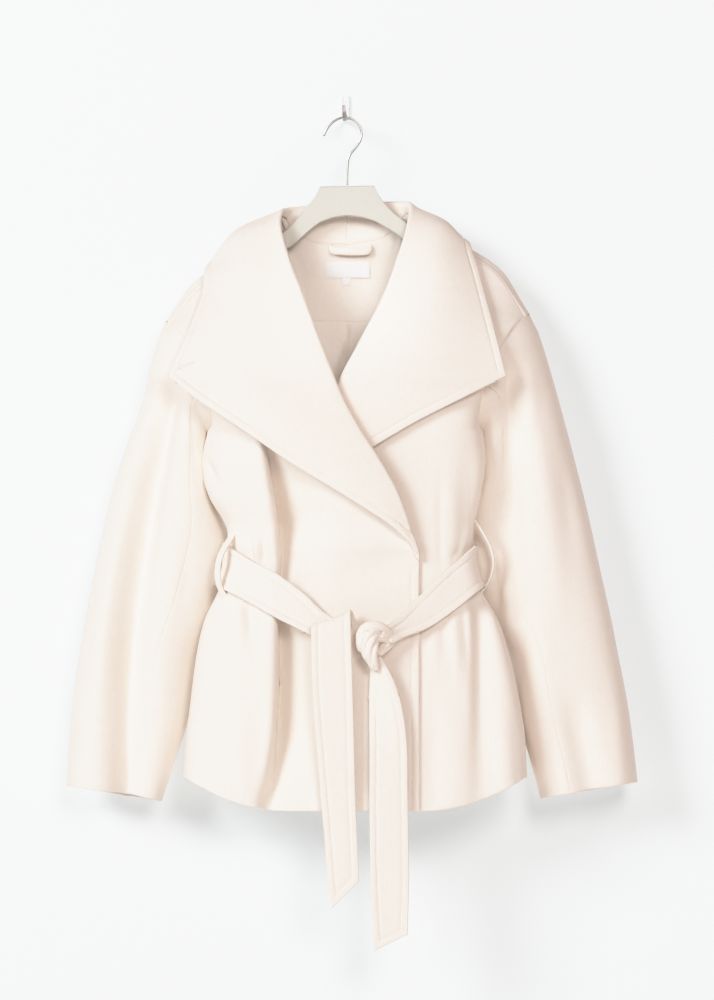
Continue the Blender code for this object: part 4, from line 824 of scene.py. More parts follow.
# Creases: height, reach, the path in squares, how much of it fades in and out
CREASES = {
    "front_right": [
        (3.2, 7.0, [(258, 436), (264, 475), (270, 515), (272, 548)], 0.1, 0.2),
        (3.0, 8.0, [(270, 610), (270, 660), (269, 740), (262, 806)], 0.1, 0.2),
        (-1.8, 8.0, [(232, 420), (236, 470), (244, 520), (247, 550)], 0.2, 0.2),
        (-3.6, 3.6, [(250, 512), (250, 538), (252, 560)], 0.6, 0.0), (3.0, 3.4, [(257, 526), (256, 545), (258, 562)], 0.6, 0.1),
        (-2.4, 3.0, [(263, 530), (264, 564)], 0.7, 0.0),
        (3.4, 4.2, [(242, 600), (241, 622), (244, 654)], 0.0, 0.7), (-3.6, 3.6, [(249, 602), (250, 622), (252, 646)], 0.0, 0.7),
        (1.8, 3.2, [(255, 606), (257, 630)], 0.1, 0.7), (-1.6, 4.0, [(233, 600), (230, 640), (226, 690)], 0.1, 0.7),
        (-6.5, 3.8, [(206, 458), (212, 472), (219, 484)], 0.25, 0.4), (3.2, 4.5, [(204, 474), (212, 490), (222, 500)], 0.3, 0.5),
        (2.6, 5.0, [(216, 452), (223, 470), (226, 492)], 0.4, 0.5), (-2.6, 5.0, [(214, 500), (222, 514), (232, 530)], 0.4, 0.3),
        (-1.6, 13.0, [(322, 582), (362, 577), (408, 566)], 0.3, 0.3), (1.3, 12.0, [(318, 556), (356, 552), (396, 544)], 0.3, 0.4),
        (1.2, 16.0, [(330, 650), (334, 720), (332, 806)], 0.4, 0.1), (-1.2, 14.0, [(368, 655), (366, 720), (370, 806)], 0.4, 0.2),
        (1.0, 10.0, [(398, 650), (400, 740), (398, 806)], 0.3, 0.2), (-2.0, 9.0, [(262, 700), (264, 750), (266, 806)], 0.5, 0.0),
        (1.6, 9.0, [(238, 690), (240, 740), (243, 800)], 0.5, 0.0), (-1.6, 8.0, [(211, 680), (208, 730), (208, 790)], 0.5, 0.0),
    ],
    "front_left": [
        (-1.2, 4.0, [(441, 462), (440, 520), (441, 575)], 0.4, 0.2), (1.2, 7.0, [(452, 470), (453, 530), (455, 560)], 0.4, 0.3),
        (-1.8, 4.5, [(462, 540), (458, 552), (452, 562)], 0.4, 0.1), (1.7, 4.0, [(470, 520), (466, 536), (460, 552)], 0.5, 0.1),
        (-2.0, 5.0, [(463, 606), (466, 640), (470, 690)], 0.1, 0.6), (1.8, 5.0, [(454, 612), (456, 650), (458, 700)], 0.1, 0.6),
        (-1.6, 5.0, [(443, 622), (444, 660)], 0.1, 0.7), (1.4, 6.0, [(434, 628), (435, 680)], 0.1, 0.7),
        (1.4, 12.0, [(452, 700), (455, 760), (456, 806)], 0.4, 0.0), (-1.4, 9.0, [(432, 690), (434, 760), (434, 808)], 0.4, 0.0),
        (1.5, 8.0, [(497, 690), (503, 740), (506, 790)], 0.5, 0.0), (-1.5, 7.0, [(512, 700), (517, 740), (519, 780)], 0.5, 0.0),
    ],
    "sleeve_right": [
        (-27.0, 19.0, [(166, 372), (159, 430), (146, 505), (133, 610), (127, 716), (129, 802)], 0.08, 0.0),
        (4.0, 9.0, [(146, 400), (136, 450), (122, 520), (108, 610), (101, 716)], 0.3, 0.2),
        (2.0, 9.0, [(176, 400), (172, 470), (160, 560), (148, 650), (143, 740)], 0.3, 0.3),
        (1.4, 8.0, [(124, 500), (108, 590), (97, 680), (92, 760)], 0.3, 0.3),
        (-5.0, 9.0, [(194, 396), (196, 440), (197, 492)], 0.3, 0.5),
        (-1.5, 7.0, [(190, 520), (186, 580), (176, 640)], 0.5, 0.5), (-1.3, 7.0, [(163, 700), (152, 730), (140, 750)], 0.5, 0.5),
    ],
    "sleeve_left": [
        (-16.0, 15.0, [(506, 350), (509, 400), (510, 450), (513, 540), (519, 620), (526, 700)], 0.1, 0.35),
        (-19.0, 17.0, [(494, 440), (492, 500), (490, 560), (490, 620), (502, 680)], 0.3, 0.4),
        (2.5, 8.0, [(526, 352), (529, 400), (532, 450)], 0.4, 0.5),
        (1.8, 9.0, [(536, 400), (545, 480), (556, 570), (566, 650)], 0.3, 0.4),
        (-9.0, 14.0, [(566, 680), (580, 735), (592, 792)], 0.5, 0.0), (1.5, 8.0, [(608, 660), (616, 720), (620, 786)], 0.5, 0.0),
        (-1.8, 9.0, [(560, 440), (570, 520), (580, 590)], 0.4, 0.5), (-1.4, 8.0, [(546, 700), (552, 750), (556, 796)], 0.5, 0.0),
    ],
    "collar_over": [
        (1.5, 9.0, [(230, 272), (229, 310), (232, 342)], 0.4, 0.4), (-1.5, 10.0, [(246, 300), (247, 350), (246, 400)], 0.4, 0.5),
        (3.4, 13.0, [(258, 312), (260, 365), (263, 420)], 0.4, 0.3), (-3.4, 13.0, [(222, 300), (220, 345), (221, 388)], 0.4, 0.2),
        (-3.0, 15.0, [(296, 330), (306, 380), (318, 440)], 0.4, 0.2), (-1.4, 9.0, [(262, 236), (265, 268), (272, 300)], 0.4, 0.5),
        (-1.6, 12.0, [(212, 300), (208, 335), (202, 362)], 0.4, 0.4), (1.2, 12.0, [(290, 360), (304, 410), (320, 452)], 0.4, 0.4),
        (-1.2, 12.0, [(310, 382), (330, 430), (352, 470)], 0.4, 0.4),
    ],
    "collar_under": [
        (1.4, 8.0, [(404, 246), (403, 264), (399, 290)], 0.4, 0.5), (-1.4, 9.0, [(418, 252), (420, 290), (421, 330)], 0.4, 0.4),
        (2.4, 12.0, [(394, 290), (395, 330), (402, 372)], 0.4, 0.3), (-3.0, 14.0, [(424, 280), (430, 330), (436, 380)], 0.4, 0.3), (-1.2, 10.0, [(440, 280), (446, 330), (452, 372)], 0.4, 0.4),
        (1.3, 11.0, [(468, 276), (475, 320), (482, 362)], 0.4, 0.4), (-1.1, 10.0, [(384, 352), (396, 384), (402, 410)], 0.4, 0.4),
    ],
    "back": [
        (-3.0, 9.0, [(300, 430), (296, 480), (300, 536)], 0.6, 0.1), (2.6, 7.0, [(316, 450), (314, 500), (318, 538)], 0.6, 0.1),
        (-2.2, 7.0, [(332, 470), (333, 538)], 0.6, 0.1), (-2.8, 8.0, [(396, 440), (402, 490), (398, 540)], 0.6, 0.1),
        (2.2, 8.0, [(380, 455), (384, 538)], 0.6, 0.1), (-1.8, 6.0, [(262, 480), (256, 538)], 0.6, 0.1),
        (-2.0, 6.0, [(436, 486), (444, 540)], 0.6, 0.1), (2.0, 7.0, [(420, 470), (424, 540)], 0.6, 0.1),
        (-3.0, 9.0, [(304, 596), (300, 660), (292, 770)], 0.1, 0.5), (2.4, 9.0, [(326, 596), (326, 680), (322, 780)], 0.1, 0.4),
        (-2.6, 8.0, [(352, 598), (354, 660), (352, 740)], 0.1, 0.6), (2.2, 9.0, [(376, 596), (380, 690), (384, 786)], 0.1, 0.4),
        (-2.8, 10.0, [(402, 596), (410, 680), (418, 780)], 0.1, 0.4), (-2.2, 7.0, [(264, 596), (254, 650), (244, 710)], 0.1, 0.6),
        (-2.0, 7.0, [(446, 598), (460, 660), (470, 730)], 0.1, 0.6),
        (-2.0, 11.0, [(246, 372), (270, 420), (300, 452)], 0.4, 0.6), (-2.2, 11.0, [(452, 378), (430, 424), (404, 456)], 0.4, 0.6),
    ],
}


def relief(shell, names, front_side=True, scale=1.0):
    total = 0
    for name in names:
        for height, reach, path, lead, tail in CREASES[name]:
            total = total + crease(shell, height, reach, path, lead, tail, front_side)
    return total * scale


def belt_band(side, shell):
    """1 away from the belt, 0 under it, so that nothing pushes through it."""
    gx, gy = shell.place[..., 0], shell.place[..., 1]
    if side == "back":
        top, low = np.full(gx.shape, 541.0), np.full(gx.shape, 590.0)
    else:
        tab = BELT_FRONT[side]
        order = np.argsort(tab["tgx"])
        top = np.interp(gx, tab["tgx"][order], tab["tgy"][order])
        order = np.argsort(tab["lgx"])
        low = np.interp(gx, tab["lgx"][order], tab["lgy"][order])
    return step(-2, 7, top - gy) + step(-2, 7, gy - low)


def side_gx(side, gy):
    return smooth(LEVELS, BODY[side], gy)


def front_place(side, gx, gy):
    sign = 1.0 if side == "right" else -1.0
    start, depth = smooth(LEVELS, BODY["side"], gy), smooth(LEVELS, BODY[FRONT_D[side]], gy)
    if side == "left":
        depth = depth + (smooth(LEVELS, BODY["over"], gy) - depth) * smooth([418, 462], [1, 0], gx)
    d = start + (depth - start) * swell((gx - side_gx(side, gy)) * sign / CORNER[side][0], CORNER[side][1])
    return np.stack([gx, gy, d], -1)


def back_place(off, gy):
    right, left = side_gx("right", gy), side_gx("left", gy)
    gx = right + (left - right) * off
    near = np.minimum(gx - right, left - gx)
    side, back_d, square = (smooth(LEVELS, BODY[c], gy) for c in ("side", "back", "round"))
    return np.stack([gx, gy, side + (back_d - side) * swell(near / CORNER_B, square)], -1)


BELT_COLUMNS = "s tgx tgy lgx lgy lift"
BELT_FRONT = {
    "right": table(BELT_COLUMNS, (0.00, 229.0, 542, 221.0, 588, 1.3), (0.12, 238.0, 549, 231.0, 594, 2.0),
                   (0.30, 256.0, 561, 251.0, 605, 1.0), (0.50, 280.0, 575, 272.0, 617, 1.5),
                   (0.72, 305.0, 594, 296.0, 629, 1.5), (0.86, 326.0, 614, 316.0, 638, 1.5),
                   (1.00, 351.0, 627, 349.0, 646, 0.5)),
    "left": table(BELT_COLUMNS, (0.00, 471.0, 545, 479.5, 589, 1.3), (0.12, 463.0, 553, 472.0, 597, 2.0),
                  (0.30, 448.0, 567, 455.0, 611, 1.0), (0.55, 421.0, 594, 426.0, 630, 2.5),
                  (0.78, 402.0, 614, 406.5, 638, 8.0), (1.00, 385.5, 628.5, 389.5, 645, 17.5)),
}
TAIL_COLUMNS = "gy_l gx_l gy_r gx_r d"
TAIL = {
    "right": table(TAIL_COLUMNS, (672, 345.0, 650, 368.0, -83.5), (656, 330.0, 636, 362.0, -84.0),
                   (641, 318.0, 622, 357.5, -85.5), (630.5, 312.6, 613.4, 354.2, -89.0),
                   (625.2, 311.1, 610.4, 352.3, -94.5), (628.5, 310.6, 615.0, 351.7, -99.4), (645, 310.6, 640, 351.8, -100.2),
                   (689, 311.8, 689, 353.6, -100.2), (740, 315.5, 740, 354.8, -100.0),
                   (800, 320.5, 800, 356.2, -100.5), (850, 325.0, 850, 358.3, -101.0),
                   (880, 327.2, 868, 359.2, -101.0), (910, 331.0, 881.5, 359.5, -101.0)),
    "left": table(TAIL_COLUMNS, (660, 374.5, 655, 380.5, -97.5), (671, 371.5, 664, 386.0, -99.0),
                  (686, 369.8, 680, 394.5, -99.0), (708, 369.2, 703, 401.8, -99.0), (745, 369.0, 740, 407.5, -99.5),
                  (790, 368.8, 790, 408.6, -100.0), (840, 369.0, 840, 409.4, -100.5),
                  (885, 370.0, 885, 409.8, -101.0), (925, 372.0, 915, 409.0, -101.5),
                  (952, 373.7, 935, 408.5, -102.0)),
}


def nearest(points, line):
    """Distance of each point to the nearest point of a dense line."""
    flat = points.reshape(-1, 3)
    out = np.empty(len(flat))
    for k in range(0, len(flat), 4000):
        out[k:k + 4000] = np.linalg.norm(flat[k:k + 4000, None] - line[None], axis=2).min(1)
    return out.reshape(points.shape[:-1])


STITCHES = []          # (line of points, line of normals), on the outer surface
PURLS = []             # the buttonhole's: (middle, direction, normal, length)


def dense(line, gap=0.5):
    return at_run(line, np.arange(0, length_of(line)[-1], gap))


def stitch_line(shell, line, gate=None, sides=(1,)):
    """Stitches along a line of (row, column) places, in floating point, on the shell's surface."""
    rows, cols = shell.mid.shape[:2]
    r, c = np.clip(line[:, 0], 0, rows - 1.001), np.clip(line[:, 1], 0, cols - 1.001)
    r0, c0 = r.astype(int), c.astype(int)
    fr, fc = (r - r0)[:, None], (c - c0)[:, None]

    def sample(a):
        if a.ndim == 2:
            a = a[..., None]
        return ((a[r0, c0] * (1 - fr) + a[r0 + 1, c0] * fr) * (1 - fc)
                + (a[r0, c0 + 1] * (1 - fr) + a[r0 + 1, c0 + 1] * fr) * fc)

    mid, normal, half = sample(shell.mid), unit(sample(shell.normal)), sample(shell.half)
    keep = np.ones(len(line), bool) if gate is None else gate(sample(shell.dist)[:, 0])
    for sign in sides:
        run = []
        for k in range(len(line) + 1):
            if k < len(line) and keep[k]:
                run.append(k)
                continue
            if len(run) > 3:
                STITCHES.append((mid[run] + normal[run] * half[run] * sign, normal[run] * sign))
            run = []


def make_stitches(name, pitch=3.9, long=2.9, radius=0.30):
    """Every stitch as a small capsule half sunk in the cloth, all in one mesh."""
    around = 6
    turn = np.linspace(0, 2 * math.pi, around + 1)[:-1]
    shape = [(-0.5, 0.25), (-0.36, 0.9), (0.0, 1.0), (0.36, 0.9), (0.5, 0.25)]
    points, faces = [], []
    for line, normals in STITCHES:
        run = length_of(line)
        for at in np.arange(pitch / 2, run[-1] - pitch / 2, pitch):
            c = np.array([np.interp(at, run, line[:, i]) for i in range(3)])
            a = np.array([np.interp(at - long / 2, run, line[:, i]) for i in range(3)])
            b = np.array([np.interp(at + long / 2, run, line[:, i]) for i in range(3)])
            n = unit(np.array([np.interp(at, run, normals[:, i]) for i in range(3)]))
            along = unit(b - a)
            side = unit(np.cross(n, along))
            first = len(points) * around
            for t, w in shape:
                lift = 0.12 * radius + 0.5 * radius * (1 - (2 * t) ** 2)
                centre = c + along * long * t + n * lift
                points.append(centre + radius * w * (np.cos(turn)[:, None] * n + np.sin(turn)[:, None] * side))
            for ring in range(len(shape) - 1):
                for k in range(around):
                    p, q = first + ring * around + k, first + ring * around + (k + 1) % around
                    faces.append((p, p + around, q + around, q))
            last = first + (len(shape) - 1) * around
            for k in (0, 2):
                faces.append((first + k, first + k + 1, first + k + 2, first + (k + 3) % around))
                faces.append((last + (k + 3) % around, last + k + 2, last + k + 1, last + k))
    for c, along, n, size in PURLS:
        side = unit(np.cross(n, along))
        first = len(points) * around
        for t, w in shape:
            centre = c + along * size * t + n * 0.16 * (1 - (2 * t) ** 2)
            points.append(centre + 0.27 * w * (np.cos(turn)[:, None] * n + np.sin(turn)[:, None] * side))
        for ring in range(len(shape) - 1):
            for k in range(around):
                p, q = first + ring * around + k, first + ring * around + (k + 1) % around
                faces.append((p, p + around, q + around, q))
        last = first + (len(shape) - 1) * around
        for k in (0, 2):
            faces.append((first + k, first + k + 1, first + k + 2, first + (k + 3) % around))
            faces.append((last + (k + 3) % around, last + k + 2, last + k + 1, last + k))
    return mesh_object(name, np.concatenate(points), faces, "thread")


# ---------------------------------------------------------------- relief and welts of the body
WAVE = (0.75, 95.0, 5)
for side, shell in body.items():
    flat_relief = relief(shell, ["front_" + side])
    band = belt_band(side, shell)
    wave = waves(shell, *WAVE)
    if side == "left":    # what lies under the right front stays flat
        band = band * step(WRAP_GX - 2, WRAP_GX + 12, shell.place[..., 0])
    # and so does what lies under the lapels
    lapel = step(0, 40, shell.place[..., 1] - (505 if side == "right" else 440))
    hidden = np.where(shell.place[..., 1] > 431, 1.0, 0.0)
    shell.push((flat_relief + wave) * band * np.maximum(lapel, 0.55 * hidden))
    run = np.linalg.norm(np.diff(shell.mid, axis=1), axis=2)
    shell.dist = np.concatenate([np.cumsum(run[:, ::-1], axis=1)[:, ::-1], np.zeros((shell.mid.shape[0], 1))], 1)
    gy = shell.place[..., 1]
    free = step(FOOT[side] + 20, FOOT[side] + 34, gy)
    shell.half = CLOTH / 2 + (welt(shell.dist, 0.0) * free)

for shell in (yoke_piece, back_piece):
    seam_fade = step(6, 26, nearest(shell.mid, dense(yoke_grid[-1], 2.0)))
    wave = waves(shell, *WAVE)
    extra = relief(shell, ["back"], False) if shell is back_piece else 0
    band = belt_band("back", shell) if shell is back_piece else 1.0
    shell.push((wave + extra) * band * (0.25 + 0.75 * seam_fade))
    if shell is back_piece:      # the inverted pleat under the yoke: its underlay lies further back
        gx, gy = shell.place[..., 0], shell.place[..., 1]
        slant = np.interp(gy, [322, 368, 420], [345.0, 331.0, 318.0])
        middle = np.interp(gy, [322, 366, 420], [350.6, 347.3, 344.0])
        under = step(-1.6, 1.6, gx - slant) * step(-1.2, 1.2, middle - gx)
        shell.push(5.5 * under * step(320, 330, gy) * step(450, 400, gy))
    if shell is yoke_piece:
        s_at = np.concatenate([np.linspace(0, 1, 44), np.full(shell.mid.shape[1] - 88, 2.0), np.linspace(1, 0, 44)])
        run = np.linalg.norm(np.diff(shell.mid, axis=0), axis=2)
        shell.dist = np.concatenate([np.zeros((1, shell.mid.shape[1])), np.cumsum(run, axis=0)])
        near_neck = (s_at < 1.5)[None, :]
        shell.half = CLOTH / 2 + (welt(shell.dist, 0.0, 0.55, 0.7) + 0.25 * step(10, 7, shell.dist)) * near_neck
for side, pair in sleeves.items():
    for shell in pair:
        head = step(4, 24, nearest(shell.mid, dense(shell.mid[0], 2.0)))
        shell.push((relief(shell, ["sleeve_" + side]) + waves(shell, *WAVE)
                    + relief(shell, ["sleeve_" + side], False, 0.55)) * head)

for side, shell in necks.items():
    outline = dense(shell.mid[:, -1], 0.6)
    shell.dist = nearest(shell.mid, outline)
    inner = nearest(shell.mid, dense(shell.mid[:, 0], 2.0))
    fade = step(8, 34, inner) * (0.35 + 0.65 * step(0, 26, shell.dist))
    shell.push((relief(shell, [shell.name[:-6]]) + waves(shell, 0.6, 80.0, 9)) * fade)
    shell.half = welt(shell.dist, COLLAR / 2, 0.3, 0.95 if side == "right" else 0.7)
    end = step(0, 16, nearest(shell.mid, shell.mid[0, -1][None]))
    shell.half = shell.half * end + (CLOTH / 2 * 0.8) * (1 - end)

# ---------------------------------------------------------------- seams: common edges share one normal
JACKET = [body["right"], body["left"], yoke_piece, back_piece, *sleeves["right"], *sleeves["left"],
          necks["right"], necks["left"]]


def rim_of(shell):
    rows, cols = shell.mid.shape[:2]
    rr = np.concatenate([np.zeros(cols, int), np.full(cols, rows - 1), np.arange(1, rows - 1), np.arange(1, rows - 1)])
    cc = np.concatenate([np.arange(cols), np.arange(cols), np.zeros(rows - 2, int), np.full(rows - 2, cols - 1)])
    return rr, cc


def sew_all(shells, reach=2.6):
    """Gives edges that meet one common normal, so that their rounded rims make one fine groove."""

    rims, trees = [], []
    for shell in shells:
        shell.facing()
        rr, cc = rim_of(shell)
        rims.append((rr, cc, shell.mid[rr, cc].copy(), shell.normal[rr, cc].copy()))
        tree = KDTree(len(rr))
        for k, p in enumerate(rims[-1][2]):
            tree.insert(p.tolist(), k)
        tree.balance()
        trees.append(tree)
    fixed = []
    for a, shell in enumerate(shells):
        rr, cc, points, normals = rims[a]
        new = normals.copy()
        met = np.zeros(len(rr), bool)
        for k, p in enumerate(points):
            for b in range(len(shells)):
                if b == a:
                    continue
                _, j, gap = trees[b].find(p.tolist())
                if gap < reach:
                    new[k] = new[k] + rims[b][3][j]
                    met[k] = True
        new = unit(new)
        met &= np.sum(new * normals, -1) > 0.75        # at a corner where the pieces turn apart, each keeps its own
        fixed.append((rr, cc, new, met))
    for shell, (rr, cc, new, met) in zip(shells, fixed):
        shell.rim_normal = {(int(r), int(c)): n for r, c, n, m in zip(rr, cc, new, met) if m}


sew_all(JACKET)
for shell in JACKET:
    thick = COLLAR if shell in necks.values() else CLOTH
    shell.draw(thick / 2 * 0.6, (0, 1, 2, 3))
for shell in JACKET:
    shell.build()

# the wrap edge's and the lapels' stitching
near = len(NEAR_EDGE) - 1 - int(np.argmin(np.abs(NEAR_EDGE - WELT)))
front_shell = body["right"]
rows, cols = front_shell.mid.shape[:2]
col = cols - 1 - int(np.argmin(np.abs(NEAR_EDGE - WELT)))
wrap_rows = np.arange(0, rows, 0.5)
wrap_rows = wrap_rows[undraft(front_shell.mid[np.minimum(wrap_rows.astype(int), rows - 1), col])[:, 1] > FOOT["right"] + 14]
stitch_line(front_shell, np.stack([wrap_rows, np.full(len(wrap_rows), float(col))], -1))
for side, shell in necks.items():
    rows, cols = shell.mid.shape[:2]
    # columns are searched for the place at the stitch line's distance from the outline
    places = []
    for r in range(rows):
        d = shell.dist[r, -24:]
        inside = np.where(d > WELT)[0]
        if len(inside) and inside[-1] < len(d) - 1:
            c = inside[-1]
            t = (d[c] - WELT) / (d[c] - d[c + 1])
            places.append((r, cols - 24 + c + t))
        elif places:
            places.append((r, -1.0))
    line, pieces_of = [], []
    for p in places:
        if p[1] < 0:
            if len(line) > 5:
                pieces_of.append(np.array(line))
            line = []
        else:
            if line and abs(p[1] - line[-1][1]) > 6:
                if len(line) > 5:
                    pieces_of.append(np.array(line))
                line = []
            line.append(p)
    if len(line) > 5:
        pieces_of.append(np.array(line))
    for line in pieces_of:
        stitch_line(shell, line)

# ---------------------------------------------------------------- belt
ACROSS_MM = np.concatenate([NEAR_EDGE, np.linspace(13.5, 31.5, 9), 45 - NEAR_EDGE[::-1]]) / 45.0


def strap(name, grid, thick):
    flat = Shell(name, draft(grid), thick)
    away = flat.mid - np.array([(350 - PLATE_GX) * UNIT, -WALL - 25.0, 0.0])
    away[..., 2] = 0
    return Shell(name, draft(grid), thick, (flat.normal * away).sum() < 0)


def stand_off(piece, lift):
    piece.push(CLOTH / 2 + 0.5 + BELT / 2 + lift)


def belt_front(side):
    s = np.linspace(0, 1, 120) ** 1.15
    tgx, tgy, lgx, lgy, lift = read(BELT_FRONT[side], "s", BELT_COLUMNS[2:], s).T
    grid = []
    for across in ACROSS_MM:
        gx, gy = tgx + (lgx - tgx) * across, tgy + (lgy - tgy) * across
        edge, sign = side_gx(side, gy), 1.0 if side == "right" else -1.0
        gx = edge + sign * np.where(s > 0, np.maximum((gx - edge) * sign, 70 * s), 0)
        grid.append(front_place(side, gx, gy))
    piece = strap("belt_front_" + side + "_cloth", np.swapaxes(np.array(grid), 0, 1), BELT)
    f = ACROSS_MM[None, :]
    gather = step(0.8, 1.0, s)[:, None] * (0.7 * np.sin(2 * math.pi * (2.3 * f + 0.1)) + 0.5 * np.sin(2 * math.pi * (4.1 * f + 0.4)))
    bow = 0.5 * np.sin(math.pi * f) * (1 - step(0.6, 1.0, s)[:, None])
    piece.push(CLOTH / 2 + 0.5 + BELT / 2 + lift[:, None] + gather + bow + 0.25 * np.sin(s * 17)[:, None] * np.sin(f * 5))
    return piece


def belt_back():
    off = np.linspace(0, 1, 190)
    off = 0.4 * off + 0.6 * np.where(off < 0.5, 2 * off**2, 1 - 2 * (1 - off) ** 2)
    top, low = 542 + 3 * off, 588 + off
    grid = [back_place(off, top + (low - top) * across) for across in ACROSS_MM]
    lifts = 1.3 + 0.0 * off
    piece = strap("belt_back_cloth", np.swapaxes(np.array(grid), 0, 1), BELT)
    f = ACROSS_MM[None, :]
    piece.push(CLOTH / 2 + 0.5 + BELT / 2 + lifts[:, None] + 0.5 * np.sin(math.pi * f) + 0.3 * np.sin(off * 23)[:, None] * np.cos(f * 4))
    return piece


def strap_welts(piece, ends=False, full=0.4, groove=0.75):
    m = piece.mid
    edge = [dense(m[:, 0], 1.2), dense(m[:, -1], 1.2)]
    if ends:
        edge.append(dense(m[-1], 1.2))
    piece.dist = nearest(m, np.concatenate(edge))
    piece.half = welt(piece.dist, BELT / 2, full, groove)


def strap_stitches(piece, sides=(1,), start=0.0):
    rows, cols = piece.mid.shape[:2]
    a = int(np.argmin(np.abs(NEAR_EDGE - WELT)))
    r = np.arange(rows * start, rows - 1, 0.5)
    for c in (a, cols - 1 - a):
        stitch_line(piece, np.stack([r, np.full(len(r), float(c))], -1), lambda d: d > WELT * 0.85, sides)


belts = [belt_front("right"), belt_front("left"), belt_back()]
for piece in belts:
    strap_welts(piece)
sew_all(belts)
for piece in belts:
    piece.draw(BELT / 2 * 0.86)
    piece.build()
    strap_stitches(piece)


def belt_tail(side):
    t = TAIL[side]
    edges = []
    for e in "lr":
        points = draft(np.stack([t["gx_" + e], t["gy_" + e], t["d"]], -1))
        fine = bend(points, 900, 40)
        run = length_of(fine)[-1]
        edges.append(at_run(fine, np.concatenate([np.linspace(0, run - 14, 150), run - NEAR_EDGE[::-1]])))
    a, b = edges
    f = ACROSS_MM[None, :, None]
    grid = a[:, None] * (1 - f) + b[:, None] * f
    piece = Shell("belt_tail_" + side + "_cloth", grid, BELT, turned=False)
    if piece.normal[-40:, :, 1].mean() > 0:
        piece = Shell("belt_tail_" + side + "_cloth", grid, BELT, turned=True)
    gy = piece.place[..., 1]
    f = ACROSS_MM[None, :]
    off = 0.7 * np.sin(gy / 41.0 + (0.8 if side == "left" else 0)) * np.cos((f - 0.5) * 2.2)
    if side == "left":     # its left edge comes out of the knot further back, then lies flat
        top = step(775, 690, gy)
        off = off - top * (9.0 * (1 - f) ** 1.6) + top * 1.8 * np.exp(-((f - 0.72) / 0.16) ** 2)
    else:
        off = off * step(640, 700, gy) + 0.5 * np.sin(math.pi * f)
    piece.push(off)
    strap_welts(piece, True)
    piece.draw(BELT / 2 * 0.86)
    piece.build()
    strap_stitches(piece, (1, -1), 0.02)
    return piece


tails = {side: belt_tail(side) for side in ("right", "left")}


def tube_points(path, wide, deep, ridges=0, height=0.0, twist=0.0, n=90, around=56):
    """A closed tube of an oval section along a path in squares and depth. wide, deep: its section at a few
    places along it; ridges: folds that run along it and turn round it."""
    mid = bend(draft(path), n)
    along = unit(np.gradient(mid, axis=0))
    t = np.linspace(0, 1, n)
    at = np.linspace(0, 1, len(wide))
    wides, deeps = smooth(at, wide, t), smooth(at, deep, t)
    turn = np.linspace(0, 2 * math.pi, around + 1)[:-1]
    rings = []
    for k, (p, a) in enumerate(zip(mid, along)):
        v = unit(np.cross(a, [0.0, 1.0, 0.0]))
        u = unit(np.cross(v, a))
        near = min(t[k], 1 - t[k]) * length_of(mid)[-1]
        taper = math.sqrt(max(0.04, 1 - (1 - min(1.0, near / (0.5 * min(wides[k], deeps[k])))) ** 2))
        phase = ridges * (turn + twist * t[k])
        fold_r = 1 + height / deeps[k] * (2 * np.abs(np.cos(phase / 2)) ** 0.8 - 1.3 if ridges else 0)
        rings.append(p + taper * (fold_r * wides[k] / 2 * np.cos(turn))[:, None] * v
                     + taper * (fold_r * deeps[k] / 2 * np.sin(turn))[:, None] * u)
    points = np.concatenate([*rings, [mid[0]], [mid[-1]]])
    faces = []
    for r in range(n - 1):
        for c in range(around):
            a, b = r * around + c, r * around + (c + 1) % around
            faces.append((a, b, b + around, a + around))
    last = (n - 1) * around
    for c in range(around):
        faces.append((c, n * around, (c + 1) % around, (c + 1) % around))
        faces.append((last + c, last + (c + 1) % around, n * around + 1, n * around + 1))
    return points, faces


# The knot: the strap's folds over and round each other. wide, deep: the section; ridges, height, twist: its pleats
KNOT = [
    ((17, 19, 17, 12, 8), (13, 17, 16, 13, 9), 7, 2.6, 3.4,
     [(367.5, 628, -100), (366.5, 638, -103), (368.5, 650, -104), (372.5, 661, -102), (376.5, 671, -98)]),
    ((8, 9, 9, 8, 7), (7, 8, 8, 8, 7), 2, 1.0, 0.8,
     [(389, 633, -99), (383, 627.6, -106), (374.5, 625.4, -109.5), (366.5, 626.8, -109), (360.8, 633, -105), (359.6, 643, -101), (361.5, 652, -98)]),
    ((5, 6.5, 6.5, 5), (5, 7, 7, 5), 0, 0.0, 0.0,
     [(379.5, 633.0, -107), (372, 632.6, -112), (366.0, 639.5, -112), (364.0, 650, -108.5), (366.5, 659, -104)]),
    ((4.5, 6.5, 7, 5), (5, 7, 7, 5), 0, 0.0, 0.0,
     [(378.5, 635.6, -107), (373.4, 639.5, -113), (369.6, 648, -112.5), (369.4, 658, -108), (372.5, 666, -102)]),
    ((4.5, 6.5, 7, 5), (5, 7, 7, 5), 0, 0.0, 0.0,
     [(377.8, 639.5, -106), (375.6, 647, -111), (374.4, 655, -109.5), (375.4, 663, -105), (378, 670, -99)]),
]
GATHER = [
    ((17, 18.5, 11, 6), (4, 7, 9, 6), 9, 1.3, 0.1,
     [(394, 632.5, -93.5), (387.5, 635.0, -99), (380.5, 637.0, -104.5), (375.0, 637.8, -107.5)]),
    ((8, 10, 9, 6), (4, 7, 7, 5), 5, 1.3, 0.5,
     [(394, 640.0, -91.5), (388.5, 644.0, -96), (383.0, 649.5, -99.5), (378.5, 655.0, -101.0)]),
]


